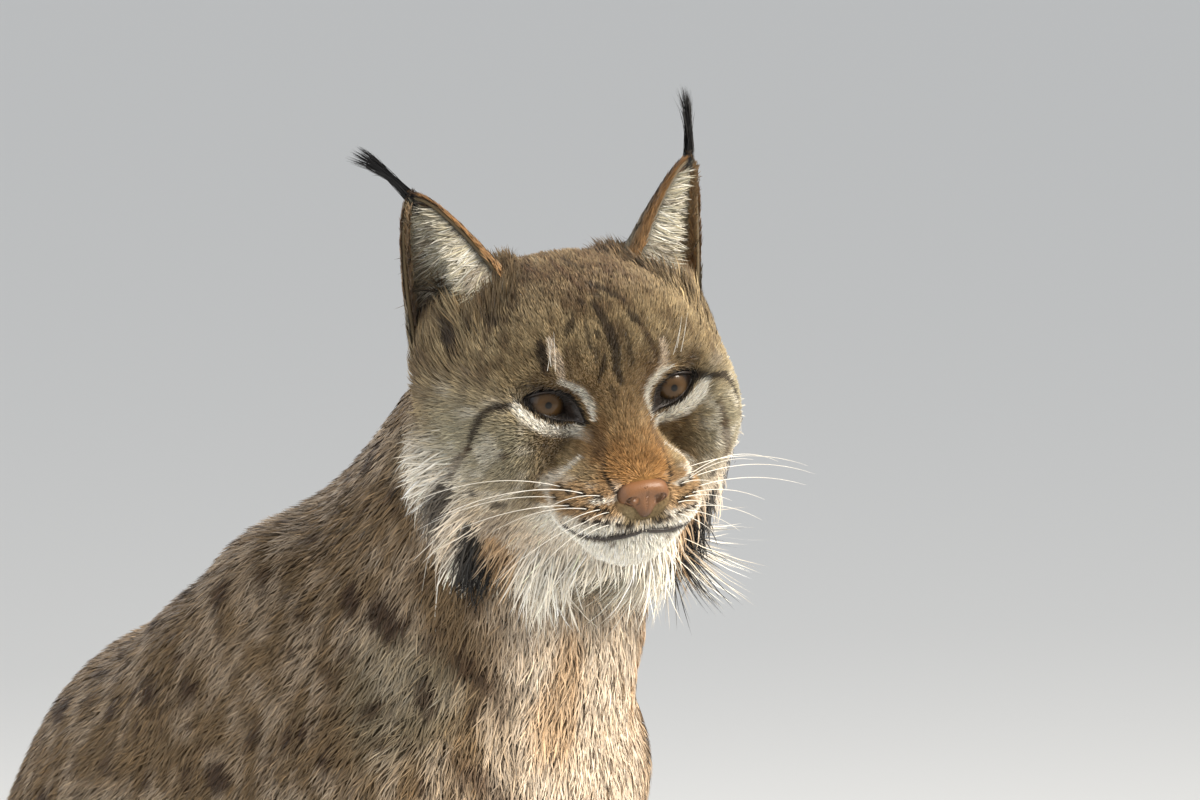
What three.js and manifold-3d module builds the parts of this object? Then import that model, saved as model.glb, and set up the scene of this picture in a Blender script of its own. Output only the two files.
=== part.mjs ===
// A seated adult Eurasian lynx at life size, in millimetres, +Z up, facing -Y, head turned to its right.
// The body is a field of overlapping masses. Three.js capsules are grown out to it, one for each part.
import * as THREE from "three";
import { mergeVertices } from "three/addons/utils/BufferGeometryUtils.js";
import Module from "manifold-3d";

const wasm = await Module();
wasm.setup();

// Driving dimensions, out to the tips of the coat
const GAP = 0.3; // between parts that touch
const HEAD_PLACE = [-55, -50, 700]; // the point midway between the eyes
const HEAD_TURN = -31.5; // degrees about Z, towards the lynx's right
const HEAD_NOD = 8; // degrees, nose down
const HEAD_ROLL = -6; // degrees, crown towards the lynx's right
const EYE_SPACING = 62; // between the centres of the eyeballs
const EYE_RADIUS = 14;
const LID = 2.2; // thickness of an eyelid
const MUZZLE_REACH = 53.5; // tip of the nose in front of the eyes
const EAR_ROOT = [51, 48, 36];
const EAR_TIP = [71, 55, 94];
const EAR_WIDTH = 62; // at the root
const EAR_TURN = 32; // degrees that its cup faces outwards
const TUFTS = { left: [7, 20, 32], right: [19, 26, 22] }; // from tip of ear to tip of tuft
const WITHERS = [44, 156, 586]; // top of the shoulder blade: side, back from the breast, up
const SHOULDER = [54, 72, 494];
const ELBOW = [68, 126, 345];
const WRIST = [60, 66, 98];
const FOREPAW = [60, 12, 24];
const FOREPAW_WIDTH = 84;
const HIP = [84, 345, 200];
const KNEE = [116, 196, 214];
const HOCK = [124, 334, 31];
const HINDPAW = [117, 156, 23];
const HINDPAW_WIDTH = 76;
const WRIST_CUT = 96; // height where the forepaw is parted from the leg
const INSTEP_CUT = 200; // distance back where the hind paw is parted from the foot
const COLLAR = { on: [0, 124, 650], up: [0, -0.57, 0.82] }; // where the neck is parted from the torso
const TAIL_RADIUS = 30;
const TAIL_TIP = 88; // where the black tip begins, towards the lynx's left

const degrees = THREE.MathUtils.degToRad;
const vector = (p) => new THREE.Vector3(...p);
const curveThrough = (...points) => new THREE.CatmullRomCurve3(points.map(vector));

// A repeatable run of numbers from 0 to 1
function seeded(start) {
  let state = start;
  return () => {
    state = (state * 1103515245 + 12345) % 2147483648;
    return state / 2147483648;
  };
}

// Fields: each takes x, y, z and returns about the distance outside the surface

// A limb that tapers from radius ra at a to rb at b, its width scaled by flat
function limb(a, b, ra, rb, flat = 1) {
  const [dx, dy, dz] = [(b[0] - a[0]) / flat, b[1] - a[1], b[2] - a[2]];
  const lengthSquared = dx * dx + dy * dy + dz * dz;
  return (x, y, z) => {
    const [px, py, pz] = [(x - a[0]) / flat, y - a[1], z - a[2]];
    const t = THREE.MathUtils.clamp((px * dx + py * dy + pz * dz) / lengthSquared, 0, 1);
    return Math.hypot(px - t * dx, py - t * dy, pz - t * dz) - ra - t * (rb - ra);
  };
}

// An ellipsoid of three radii, turned by Euler angles in degrees
function mass(centre, radii, turn = [0, 0, 0]) {
  const back = new THREE.Matrix4().makeRotationFromEuler(new THREE.Euler(...turn.map(degrees))).transpose();
  const m = back.elements;
  return (x, y, z) => {
    const [px, py, pz] = [x - centre[0], y - centre[1], z - centre[2]];
    const u = (m[0] * px + m[4] * py + m[8] * pz) / radii[0];
    const v = (m[1] * px + m[5] * py + m[9] * pz) / radii[1];
    const w = (m[2] * px + m[6] * py + m[10] * pz) / radii[2];
    const near = Math.hypot(u, v, w);
    const slope = Math.hypot(u / radii[0], v / radii[1], w / radii[2]);
    return slope > 1e-9 ? (near * (near - 1)) / slope : -Math.min(...radii);
  };
}

const pair = (shape) => (x, y, z) => shape(Math.abs(x), y, z);
const grown = (shape, by) => (x, y, z) => shape(x, y, z) - by;

// The smooth union of shapes, with fillets about k wide
function blend(k, ...shapes) {
  return (x, y, z) =>
    shapes.reduce((least, shape) => {
      const d = shape(x, y, z);
      const near = Math.max(k - Math.abs(least - d), 0);
      return Math.min(least, d) - (near * near) / (4 * k);
    }, 1e6);
}

// shape with a soft-edged hollow taken out of it
function hollowed(k, shape, hollow) {
  return (x, y, z) => {
    const [d, h] = [shape(x, y, z), -hollow(x, y, z)];
    const near = Math.max(k - Math.abs(d - h), 0);
    return Math.max(d, h) + (near * near) / (4 * k);
  };
}

// A limb's own shape with fillets to a neighbour that reach no more than by beyond it
function filleted(k, shape, neighbour, by) {
  const joined = blend(k, shape, neighbour);
  return (x, y, z) => Math.max(joined(x, y, z), shape(x, y, z) - by);
}

// How far from a point, along a direction, the surface of shape is
function reach(shape, from, along, limit) {
  const STEP = 4;
  const at = (r) => shape(from.x + along.x * r, from.y + along.y * r, from.z + along.z * r);
  let outer = STEP;
  while (outer < limit && at(outer) < 0) outer += STEP;
  let inner = outer - STEP;
  for (let i = 0; i < 14; i++) {
    const middle = (inner + outer) / 2;
    if (at(middle) < 0) inner = middle;
    else outer = middle;
  }
  return inner;
}

// A capsule bent along a curve, each vertex moved out from the curve to the surface of shape
function wrapped(curve, shape, { around, along, caps, side = [1, 0, 0], limit = 260 }) {
  const geometry = new THREE.CapsuleGeometry(1, 2, caps, around, along);
  const places = geometry.getAttribute("position");
  const vertex = new THREE.Vector3();
  for (let i = 0; i < places.count; i++) {
    vertex.fromBufferAttribute(places, i);
    const level = THREE.MathUtils.clamp(vertex.y, -1, 1);
    const centre = curve.getPointAt((level + 1) / 2);
    const tangent = curve.getTangentAt((level + 1) / 2);
    const across = vector(side).addScaledVector(tangent, -tangent.dot(vector(side))).normalize();
    const third = new THREE.Vector3().crossVectors(across, tangent);
    const direction = new THREE.Vector3()
      .addScaledVector(across, vertex.x)
      .addScaledVector(tangent, vertex.y - level)
      .addScaledVector(third, vertex.z)
      .normalize();
    centre.addScaledVector(direction, reach(shape, centre, direction, limit));
    places.setXYZ(i, centre.x, centre.y, centre.z);
  }
  return solid(geometry);
}

// Solids: three.js geometry carried to manifold-3d for the joins and cuts, and back

function solid(geometry) {
  const bare = geometry.clone();
  for (const name of Object.keys(bare.attributes)) {
    if (name !== "position") bare.deleteAttribute(name);
  }
  const merged = mergeVertices(bare, 1e-3);
  const vertProperties = new Float32Array(merged.getAttribute("position").array);
  const triVerts = new Uint32Array(merged.index.array);
  const made = new wasm.Manifold(new wasm.Mesh({ numProp: 3, vertProperties, triVerts }));
  if (made.volume() > 0) return made;
  for (let i = 0; i < triVerts.length; i += 3) {
    [triVerts[i], triVerts[i + 1]] = [triVerts[i + 1], triVerts[i]];
  }
  return new wasm.Manifold(new wasm.Mesh({ numProp: 3, vertProperties, triVerts }));
}

function geometryOf(made) {
  const mesh = made.getMesh();
  const places = new Float32Array(mesh.numVert * 3);
  for (let i = 0; i < mesh.numVert; i++) {
    places.set(mesh.vertProperties.subarray(i * mesh.numProp, i * mesh.numProp + 3), i * 3);
  }
  return new THREE.BufferGeometry()
    .setAttribute("position", new THREE.BufferAttribute(places, 3))
    .setIndex(new THREE.BufferAttribute(mesh.triVerts, 1));
}

// The largest closed surface, without sealed hollows or loose scraps
function largest(made) {
  return made.decompose().reduce((best, piece) => (piece.volume() > best.volume() ? piece : best));
}

const moved = (made, matrix) => solid(geometryOf(made).applyMatrix4(matrix));
const mirrored = (made) => moved(made, new THREE.Matrix4().makeScale(-1, 1, 1));
const together = (...list) => wasm.Manifold.union(list);

// Cuts leave slivers: edges under FINE are closed up, and the long side of a flat triangle is turned
const FINE = 0.15;

function tidied(geometry) {
  const places = geometry.getAttribute("position");
  const at = Array.from({ length: places.count }, (_, i) => new THREE.Vector3().fromBufferAttribute(places, i));
  let faces = Array.from({ length: geometry.index.count / 3 }, (_, i) => [
    ...geometry.index.array.subarray(3 * i, 3 * i + 3),
  ]);
  for (let pass = 0; pass < 8; pass++) {
    const around = at.map(() => new Set());
    const facing = new Map();
    faces.forEach((face, index) => {
      for (let k = 0; k < 3; k++) {
        around[face[k]].add(face[(k + 1) % 3]).add(face[(k + 2) % 3]);
        facing.set(`${face[k]} ${face[(k + 1) % 3]}`, index);
      }
    });
    const settled = new Set();
    for (let index = 0; index < faces.length; index++) {
      for (let k = 0; k < 3; k++) {
        const [a, b, c] = [0, 1, 2].map((step) => faces[index][(k + step) % 3]);
        const other = facing.get(`${b} ${a}`);
        const d = faces[other]?.find((corner) => corner !== a && corner !== b);
        const near = [a, b, c, d, ...around[a], ...around[b]];
        if (near.some((corner) => settled.has(corner))) continue;
        const length = at[a].distanceTo(at[b]);
        const height = new THREE.Triangle(at[a], at[b], at[c]).getArea() * (2 / length);
        const shared = [...around[a]].filter((corner) => around[b].has(corner)).length;
        const longest = length > at[b].distanceTo(at[c]) && length > at[c].distanceTo(at[a]);
        if (length < FINE && shared === 2) {
          for (const face of faces) {
            for (let corner = 0; corner < 3; corner++) if (face[corner] === b) face[corner] = a;
          }
        } else if (height < FINE / 8 && longest && !around[c].has(d)) {
          faces[index] = [a, d, c];
          faces[other] = [d, b, c];
        } else continue;
        near.forEach((corner) => settled.add(corner));
        break;
      }
    }
    if (settled.size === 0) break;
    faces = faces.filter(([a, b, c]) => a !== b && b !== c && c !== a);
  }
  return geometry.clone().setIndex(faces.flat());
}

// A block that fills the side of a plane that its normal points to
function block(on, normal) {
  const SIZE = 1600;
  const turn = new THREE.Quaternion().setFromUnitVectors(new THREE.Vector3(0, 0, 1), vector(normal).normalize());
  const centre = vector(on).addScaledVector(vector(normal).normalize(), SIZE / 2);
  return solid(new THREE.BoxGeometry(SIZE, SIZE, SIZE).applyQuaternion(turn).translate(...centre));
}

// made in two, either side of a plane, with the gap between them
function parted(made, on, normal) {
  const against = vector(normal).normalize();
  const lowered = vector(on).addScaledVector(against, -GAP).toArray();
  return [made.subtract(block(on, against.clone().negate())), made.subtract(block(lowered, normal))];
}

const floor = block([0, 0, 0], [0, 0, -1]);

// A flat, tapered lock of hair: a four-sided cone bent along a curve, wide across and thin through
function lock(curve, across, halfWidth, halfThickness, grow = 0) {
  const STATIONS = 3;
  const geometry = new THREE.ConeGeometry(1, 1, 4, STATIONS);
  const places = geometry.getAttribute("position");
  for (let i = 0; i < places.count; i++) {
    const t = places.getY(i) + 0.5;
    const tangent = curve.getTangent(t);
    const wide = vector(across).addScaledVector(tangent, -tangent.dot(vector(across))).normalize();
    const thin = new THREE.Vector3().crossVectors(tangent, wide);
    const taper = t < 1 ? Math.pow(1 - t, 0.9) * (0.4 + 1.8 * t) : 0;
    const radius = Math.hypot(places.getX(i), places.getZ(i));
    const spread = radius > 1e-6 ? taper / radius : 0;
    const place = curve
      .getPoint(t)
      .addScaledVector(wide, places.getX(i) * spread * (halfWidth + grow * 1.5))
      .addScaledVector(thin, places.getZ(i) * spread * (halfThickness + grow * 1.5))
      .addScaledVector(tangent, t === 1 ? grow * 4 : 0);
    places.setXYZ(i, place.x, place.y, place.z);
  }
  return solid(geometry);
}

// Head, in its own frame: the origin is midway between the eyes, the muzzle points along -Y

const eyePlace = [EYE_SPACING / 2, -3, 2];
const faceField = blend(
  14,
  blend(
    26,
    mass([0, 42, 10], [64, 62, 50]),
    mass([0, 4, 22], [44, 30, 34]),
    pair(mass([46, 18, -16], [28, 38, 34])),
    pair(mass([42, 42, -30], [28, 40, 36])),
    pair(mass([53, 58, 12], [20, 24, 30])),
    mass([0, 22, -50], [40, 46, 28]),
  ),
  limb([0, 2, 14], [0, -MUZZLE_REACH + 14, -25], 19, 13),
  mass([0, -27, -42], [31, 27, 26]),
  pair(mass([17, -MUZZLE_REACH + 23, -46], [19, 19, 15])),
  mass([0, -MUZZLE_REACH + 25, -63], [19, 16, 15]),
);
const socket = pair(mass([EYE_SPACING / 2 + 2.5, -29, 4], [19.6, 11.8, 6.5], [0, -8, 24]));
const headField = hollowed(7, faceField, socket);
const ruffCore = blend(16, pair(mass([50, 42, -54], [20, 26, 36], [0, 12, 0])), mass([0, 24, -72], [40, 28, 20]));
const skull = (by) =>
  wrapped(curveThrough([0, -24, -30], [0, 10, -12], [0, 44, -2]), grown(blend(16, faceField, ruffCore), by), {
    around: 34,
    along: 8,
    caps: 8,
    limit: 150,
  });

// Brow, socket and upper cheek round one eye, finer than the skull that they are set into
const ORBIT = [29, 30, 24];
const orbitCurve = curveThrough([eyePlace[0], 3, 2], [eyePlace[0], -5, 2]);
const orbitLook = { around: 24, along: 1, caps: 9, limit: 40 };
const orbitBall = mass(eyePlace, ORBIT);
const orbitField = blend(16, headField, ruffCore);
const orbit = wrapped(orbitCurve, (x, y, z) => Math.max(orbitField(x, y, z), orbitBall(x, y, z)), orbitLook);
const orbitBed = solid(
  new THREE.SphereGeometry(1, 18, 12).scale(...ORBIT.map((r) => r - 0.8)).translate(...eyePlace),
);

// Eyes: whole balls behind almond openings between raised lids
const eyeball = (by) => solid(new THREE.SphereGeometry(EYE_RADIUS + by, 16, 10).translate(...eyePlace));
const lid = solid(new THREE.SphereGeometry(EYE_RADIUS + LID, 18, 12).translate(...eyePlace));
const almond = new THREE.Shape()
  .moveTo(-14.5, -9)
  .bezierCurveTo(-10, 3, 1, 13, 12.5, 4.2)
  .bezierCurveTo(6, -4, -5, -10, -14.5, -9);
const lidOpening = solid(
  new THREE.ExtrudeGeometry(almond, { depth: 40, bevelEnabled: false, curveSegments: 6 })
    .rotateX(Math.PI / 2)
    .translate(...eyePlace),
);

// Nose leather: a broad top, nostrils at the sides and a narrow foot
const noseField = blend(
  5,
  mass([0, -MUZZLE_REACH + 2.5, -33.5], [10.5, 7, 4.5]),
  pair(mass([8, -MUZZLE_REACH + 3.5, -37.5], [5, 7, 5])),
  mass([0, -MUZZLE_REACH + 3.5, -42], [5.5, 6.5, 7]),
);
const noseCurve = curveThrough([0, -MUZZLE_REACH + 3, -34], [0, -MUZZLE_REACH + 3, -40]);
const noseWrap = (by) => wrapped(noseCurve, grown(noseField, by), { around: 14, along: 2, caps: 4, limit: 30 });
const nostril = solid(
  new THREE.SphereGeometry(1, 8, 6)
    .scale(2.6, 6, 2)
    .rotateZ(degrees(-28))
    .rotateY(degrees(-24))
    .translate(7.4, -MUZZLE_REACH - 2.8, -38.5),
);
const nose = largest(noseWrap(0).subtract(nostril).subtract(mirrored(nostril)));

// Line of the mouth over the roll of the lower lip, and the cleft above it, along the muzzle's surface
function onMuzzle(turn, drop, out = 0) {
  const centre = new THREE.Vector3(0, -22, -50);
  const direction = new THREE.Vector3(Math.sin(turn), -Math.cos(turn), drop).normalize();
  return centre.addScaledVector(direction, reach(headField, centre, direction, 80) + out);
}

function cord(points, radius, sides = 4) {
  return solid(
    new THREE.ExtrudeGeometry(new THREE.Shape().absarc(0, 0, radius, 0, Math.PI * 2), {
      steps: points.length + 4,
      curveSegments: sides / 2,
      extrudePath: new THREE.CatmullRomCurve3(points),
    }),
  );
}

const MOUTH_TURN = 84; // degrees round the muzzle to the corners
function mouthLine(lower, out, share) {
  return Array.from({ length: 13 }, (_, i) => {
    const side = (i / 6 - 1) * share;
    const drop = 0.19 + lower + 0.11 * Math.sin(Math.PI * Math.abs(side)) - 0.19 * side ** 2;
    return onMuzzle(side * degrees(MOUTH_TURN), -drop, out);
  });
}
const mouth = cord(mouthLine(0, 0, 1), 1.5);
const lip = cord(mouthLine(0.11, -2.2, 0.86), 3.6, 6);
const cleft = cord([onMuzzle(0, 0.12), onMuzzle(0, -0.03), onMuzzle(0, -0.18)], 1.2);

// Ruff: three tiers of locks from below the ears, round the cheeks, to the throat
const ruffTiers = [
  {
    count: 11,
    halfWidth: 13,
    roots: curveThrough([60, 56, 30], [66, 54, 4], [66, 50, -24], [54, 42, -48], [32, 30, -64], [2, 20, -70]),
    tips: curveThrough([88, 66, -6], [95, 58, -46], [92, 50, -82], [70, 38, -107], [42, 24, -122], [4, 10, -114]),
  },
  {
    count: 9,
    halfWidth: 11,
    roots: curveThrough([58, 34, 14], [64, 30, -8], [58, 24, -34], [42, 16, -54], [16, 8, -64]),
    tips: curveThrough([85, 50, -24], [90, 44, -58], [81, 36, -88], [58, 24, -104], [24, 10, -110]),
  },
  {
    count: 7,
    halfWidth: 9,
    roots: curveThrough([52, 12, -4], [54, 8, -24], [46, 2, -44], [28, -8, -60]),
    tips: curveThrough([80, 32, -36], [79, 28, -64], [64, 16, -88], [32, 2, -98]),
  },
];

function ruffLocks(grow) {
  const SUNK = 12;
  const hub = new THREE.Vector3(0, 30, -24);
  const random = seeded(11);
  return ruffTiers.flatMap(({ count, halfWidth, roots, tips }) =>
    Array.from({ length: count }, (_, i) => {
      const share = THREE.MathUtils.clamp((i + 0.5 + 0.3 * (random() - 0.5)) / count, 0, 1);
      const outward = roots.getPointAt(share).sub(hub).normalize();
      const root = hub.clone().addScaledVector(outward, reach(headField, hub, outward, 150) - SUNK);
      const tip = tips.getPointAt(share).lerp(root, 0.12 * random() - 0.07);
      const bend = root.clone().lerp(tip, 0.42).addScaledVector(outward, 6 + 3 * random());
      const across = new THREE.Vector3().crossVectors(outward, tip.clone().sub(root));
      const curve = new THREE.QuadraticBezierCurve3(root, bend, tip);
      return lock(curve, across.toArray(), halfWidth * (0.9 + 0.25 * random()), 2.6, grow);
    }),
  );
}

function headSolid(grow) {
  const locks = ruffLocks(grow);
  const bare = skull(grow).subtract(orbitBed.add(mirrored(orbitBed)));
  const brows = [orbit, mirrored(orbit), lid, mirrored(lid)];
  return together(bare, ...brows, ...locks, ...locks.map(mirrored));
}

const opening = lidOpening.add(eyeball(GAP));
const head = largest(
  headSolid(0)
    .add(lip)
    .subtract(together(opening, mirrored(opening), noseWrap(GAP), mouth, cleft)),
);
const headGrown = headSolid(GAP);

// Ears: a tall shell round a forward cup, with a tuft of long hairs at the tip

// A leaf-shaped mass up the ear, set forward by lean at its root
function earField(halfWidth, halfDepth, shorter, lean) {
  const axis = vector(EAR_TIP).sub(vector(EAR_ROOT));
  const height = axis.length() - shorter;
  axis.normalize();
  const face = new THREE.Vector3(0, -1, 0).applyAxisAngle(new THREE.Vector3(0, 0, 1), degrees(EAR_TURN));
  face.addScaledVector(axis, -face.dot(axis)).normalize();
  const across = new THREE.Vector3().crossVectors(axis, face);
  return (x, y, z) => {
    const p = new THREE.Vector3(x, y, z).sub(vector(EAR_ROOT));
    const t = p.dot(axis) / height;
    const share = THREE.MathUtils.clamp(1 - t, 0, 1.3);
    const width = halfWidth * Math.pow(share, 0.64) + 0.5;
    const depth = halfDepth * Math.pow(share, 0.8) + 0.5;
    const [u, v] = [p.dot(across) / width, (p.dot(face) - lean * share) / depth];
    const level = Math.max(t - 1, -0.3 - t) * height;
    return Math.max((Math.hypot(u, v) - 1) * Math.min(width, depth), level);
  };
}

const upEar = (share) => vector(EAR_ROOT).lerp(vector(EAR_TIP), share).toArray();
const earShell = wrapped(curveThrough(upEar(0.02), upEar(0.9)), earField(EAR_WIDTH / 2, 19, 0, -4), {
  around: 16,
  along: 6,
  caps: 2,
  limit: 60,
});
const earCup = wrapped(
  curveThrough([52, 34, 42], [EAR_TIP[0] - 4, EAR_TIP[1] - 8, EAR_TIP[2] - 16]),
  earField(EAR_WIDTH / 2 - 3.5, 15, 7, 10),
  { around: 14, along: 5, caps: 2, limit: 60 },
);

function tuftLocks(towards) {
  const COUNT = 5;
  const random = seeded(5);
  const tip = vector(upEar(0.9));
  const top = vector(EAR_TIP);
  return Array.from({ length: COUNT }, (_, i) => {
    const spread = i / (COUNT - 1) - 0.5;
    const end = top.clone().add(vector(towards)).add(vector([spread * 7, -spread * 7, -8 * random()]));
    const bend = top.clone().add(vector([spread * 3, 0, 8])).addScaledVector(vector(towards), 0.16);
    return lock(new THREE.QuadraticBezierCurve3(tip, bend, end), [0.8, -0.5, 0], 3, 2);
  });
}

const earWith = (towards) => together(earShell.subtract(earCup), ...tuftLocks(towards));
const ears = {
  left: largest(earWith(TUFTS.left).subtract(headGrown)),
  right: largest(mirrored(earWith(TUFTS.right)).subtract(headGrown)),
};

// Placing the head on the body
const headMatrix = new THREE.Matrix4()
  .makeTranslation(...HEAD_PLACE)
  .multiply(new THREE.Matrix4().makeRotationZ(degrees(HEAD_TURN)))
  .multiply(new THREE.Matrix4().makeRotationX(degrees(HEAD_NOD)))
  .multiply(new THREE.Matrix4().makeRotationY(degrees(HEAD_ROLL)));
const placed = (made) => moved(made, headMatrix);

// Trunk: neck, breast, ribs, loin and pelvis, with the shoulder blades and upper arms on them

const trunkField = blend(
  30,
  blend(
    40,
    limb([0, 112, 548], [0, 145, 468], 84, 108, 0.78),
    limb([0, 145, 468], [0, 232, 444], 108, 114, 0.72),
    limb([0, 232, 444], [0, 335, 300], 114, 116, 0.76),
    mass([0, 225, 395], [96, 100, 105]),
    limb([0, 335, 300], [0, 355, 108], 116, 112, 0.98),
    mass([2, 68, 518], [72, 72, 112]),
    pair(limb(WITHERS, SHOULDER, 38, 40)),
    pair(mass([40, 196, 535], [44, 50, 50])),
    pair(limb(SHOULDER, ELBOW, 42, 37)),
    pair(mass([58, 130, 455], [36, 58, 92])),
  ),
  mass([4, 56, 588], [70, 68, 62]),
  limb([0, 104, 556], [-12, 36, 656], 80, 62),
  limb([0, 136, 590], [-6, 60, 668], 34, 34),
);
const spine = curveThrough(
  [-12, 42, 664],
  [-4, 88, 596],
  [0, 140, 510],
  [0, 220, 410],
  [0, 300, 300],
  [0, 348, 130],
);
const trunkWrap = (by) => wrapped(spine, grown(trunkField, by), { around: 30, along: 22, caps: 4 });
const trunkGrown = trunkWrap(GAP);
const [neckWhole, torsoWhole] = parted(trunkWrap(0), COLLAR.on, COLLAR.up);
const neck = largest(neckWhole.subtract(placed(headGrown)));
const torso = largest(torsoWhole.subtract(floor));

// Forelegs: forearm and wrist, then the broad paw with four toes

function pawField([x, y, z], width, wrist, wristRadius) {
  const toe = width * 0.155;
  const toes = [-1, -0.36, 0.36, 1].map((side) =>
    mass(
      [x + side * (width / 2 - toe), y - 40 + 14 * side ** 2, z - 3],
      [toe, width * 0.27, width * 0.25],
      [0, 0, -9 * side],
    ),
  );
  const palm = mass([x, y + 10, z + 2], [width * 0.44, width * 0.52, z + 5]);
  return blend(7, blend(20, palm, limb(wrist, [x, y + 24, z + 16], wristRadius, 30)), ...toes);
}

const [elbowX, elbowY] = ELBOW;
const forearmField = blend(
  30,
  limb(ELBOW, [elbowX - 4, elbowY - 28, 225], 42, 33, 0.92),
  limb([elbowX - 4, elbowY - 28, 225], WRIST, 33, 29, 0.95),
);
const forelegField = blend(16, forearmField, pawField(FOREPAW, FOREPAW_WIDTH, WRIST, 29));
const foreleg = wrapped(
  curveThrough([68, 120, 355], [63, 98, 225], [60, 68, 100], [60, 54, 78]),
  filleted(30, forelegField, trunkField, 12),
  { around: 18, along: 11, caps: 3, limit: 90 },
).subtract(block([0, 0, WRIST_CUT + GAP], [0, 0, -1]));
const forepaw = wrapped(curveThrough([60, 64, 96], [60, 36, 44], [60, 10, 26]), forelegField, {
  around: 20,
  along: 5,
  caps: 6,
  limit: 90,
})
  .subtract(block([0, 0, WRIST_CUT], [0, 0, 1]))
  .subtract(floor);

// Hind legs: the folded haunch, the foot flat on the floor, and its paw

const haunchField = blend(
  45,
  limb(HIP, KNEE, 94, 58, 0.66),
  limb(KNEE, [HOCK[0] - 4, HOCK[1] - 14, HOCK[2] + 24], 50, 40, 0.75),
  mass([104, 305, 150], [44, 95, 100]),
);
const haunchWrap = (by) =>
  wrapped(
    curveThrough([98, 338, 185], [112, 206, 200]),
    grown(filleted(40, haunchField, trunkField, 14), by),
    { around: 20, along: 6, caps: 5, limit: 200 },
  );
const haunch = haunchWrap(0).subtract(floor);
const haunchGrown = haunchWrap(GAP);
const bodyGrown = together(trunkGrown, haunchGrown, mirrored(haunchGrown));

const footField = blend(
  16,
  limb(HOCK, [119, 204, 31], 32, 28),
  pawField(HINDPAW, HINDPAW_WIDTH, [120, 219, 40], 27),
);
const hindfoot = wrapped(curveThrough([124, 336, 32], [121, 246, 32], [118, 176, 29]), footField, {
  around: 14,
  along: 7,
  caps: 4,
  limit: 80,
})
  .subtract(block([0, INSTEP_CUT + GAP, 0], [0, -1, 0]))
  .subtract(floor);
const hindpaw = wrapped(curveThrough([119, 209, 34], [117, 154, 27]), footField, {
  around: 20,
  along: 4,
  caps: 6,
  limit: 90,
})
  .subtract(block([0, INSTEP_CUT, 0], [0, 1, 0]))
  .subtract(floor);

// Tail: a short bushy stub laid on the floor round the left haunch

const tailField = blend(
  18,
  limb([0, 430, 76], [16, 478, 44], 34, TAIL_RADIUS),
  limb([16, 478, 44], [56, 512, 29], TAIL_RADIUS, TAIL_RADIUS),
  limb([56, 512, 29], [134, 520, 28], TAIL_RADIUS, TAIL_RADIUS + 1),
);
const tail = wrapped(curveThrough([0, 430, 72], [14, 478, 42], [54, 512, 30], [130, 520, 29]), tailField, {
  around: 16,
  along: 10,
  caps: 3,
  side: [0, 0, 1],
  limit: 80,
})
  .subtract(bodyGrown)
  .subtract(floor);
const [tailTip, tailBase] = parted(tail, [TAIL_TIP, 0, 0], [1, 0, 0]);

// The named parts and their colours

const finishes = {
  fur: { color: 0x9a7f62, roughness: 0.9 },
  paleFur: { color: 0xb5a189, roughness: 0.9 },
  blackFur: { color: 0x1d1a18, roughness: 0.9 },
  noseLeather: { color: 0x9c6250, roughness: 0.55 },
  eye: { color: 0x6d5433, roughness: 0.1 },
};
const lynx = new THREE.Group();

function part(name, made, finish) {
  const material = new THREE.MeshStandardMaterial({ metalness: 0, ...finishes[finish] });
  const mesh = new THREE.Mesh(tidied(geometryOf(made)), material);
  mesh.name = name;
  lynx.add(mesh);
}

// A limb on either side, the lynx's right being -X, less what it meets
function bothSides(name, made, finish, met) {
  part(`${name}_left`, largest(made.subtract(met)), finish);
  part(`${name}_right`, largest(mirrored(made).subtract(met)), finish);
}

part("torso", torso, "fur");
part("neck", neck, "fur");
part("head", placed(head), "fur");
part("nose", placed(nose), "noseLeather");
part("eye_left", placed(eyeball(0)), "eye");
part("eye_right", placed(mirrored(eyeball(0))), "eye");
part("ear_left", placed(ears.left), "fur");
part("ear_right", placed(ears.right), "fur");
bothSides("foreleg", foreleg, "fur", trunkGrown);
bothSides("forepaw", forepaw, "paleFur", trunkGrown);
bothSides("haunch", haunch, "fur", trunkGrown);
bothSides("hindfoot", hindfoot, "fur", bodyGrown);
bothSides("hindpaw", hindpaw, "paleFur", bodyGrown);
part("tail_base", largest(tailBase), "fur");
part("tail_tip", largest(tailTip), "blackFur");

// The origin is on the floor, under the middle of the whole
const bounds = new THREE.Box3().setFromObject(lynx);
const middle = bounds.getCenter(new THREE.Vector3());
lynx.position.set(-middle.x, -middle.y, -bounds.min.z);

export default lynx;
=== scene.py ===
# A seated adult Eurasian lynx at life size, as a still display model: one skin under a coat of fine tufts,
# with wet eyes in their lids, nose leather, lips and whiskers. Forms are worked out in millimetres in the
# animal's own frame, where it faces -Y and its left side is +X, and are carried to metres at the end.
# Places on the head are in the head's frame: from the point between the eyes, -Y out of the face.
import math

import bmesh
import bpy
import numpy as np
from mathutils import Matrix, Vector


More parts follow.
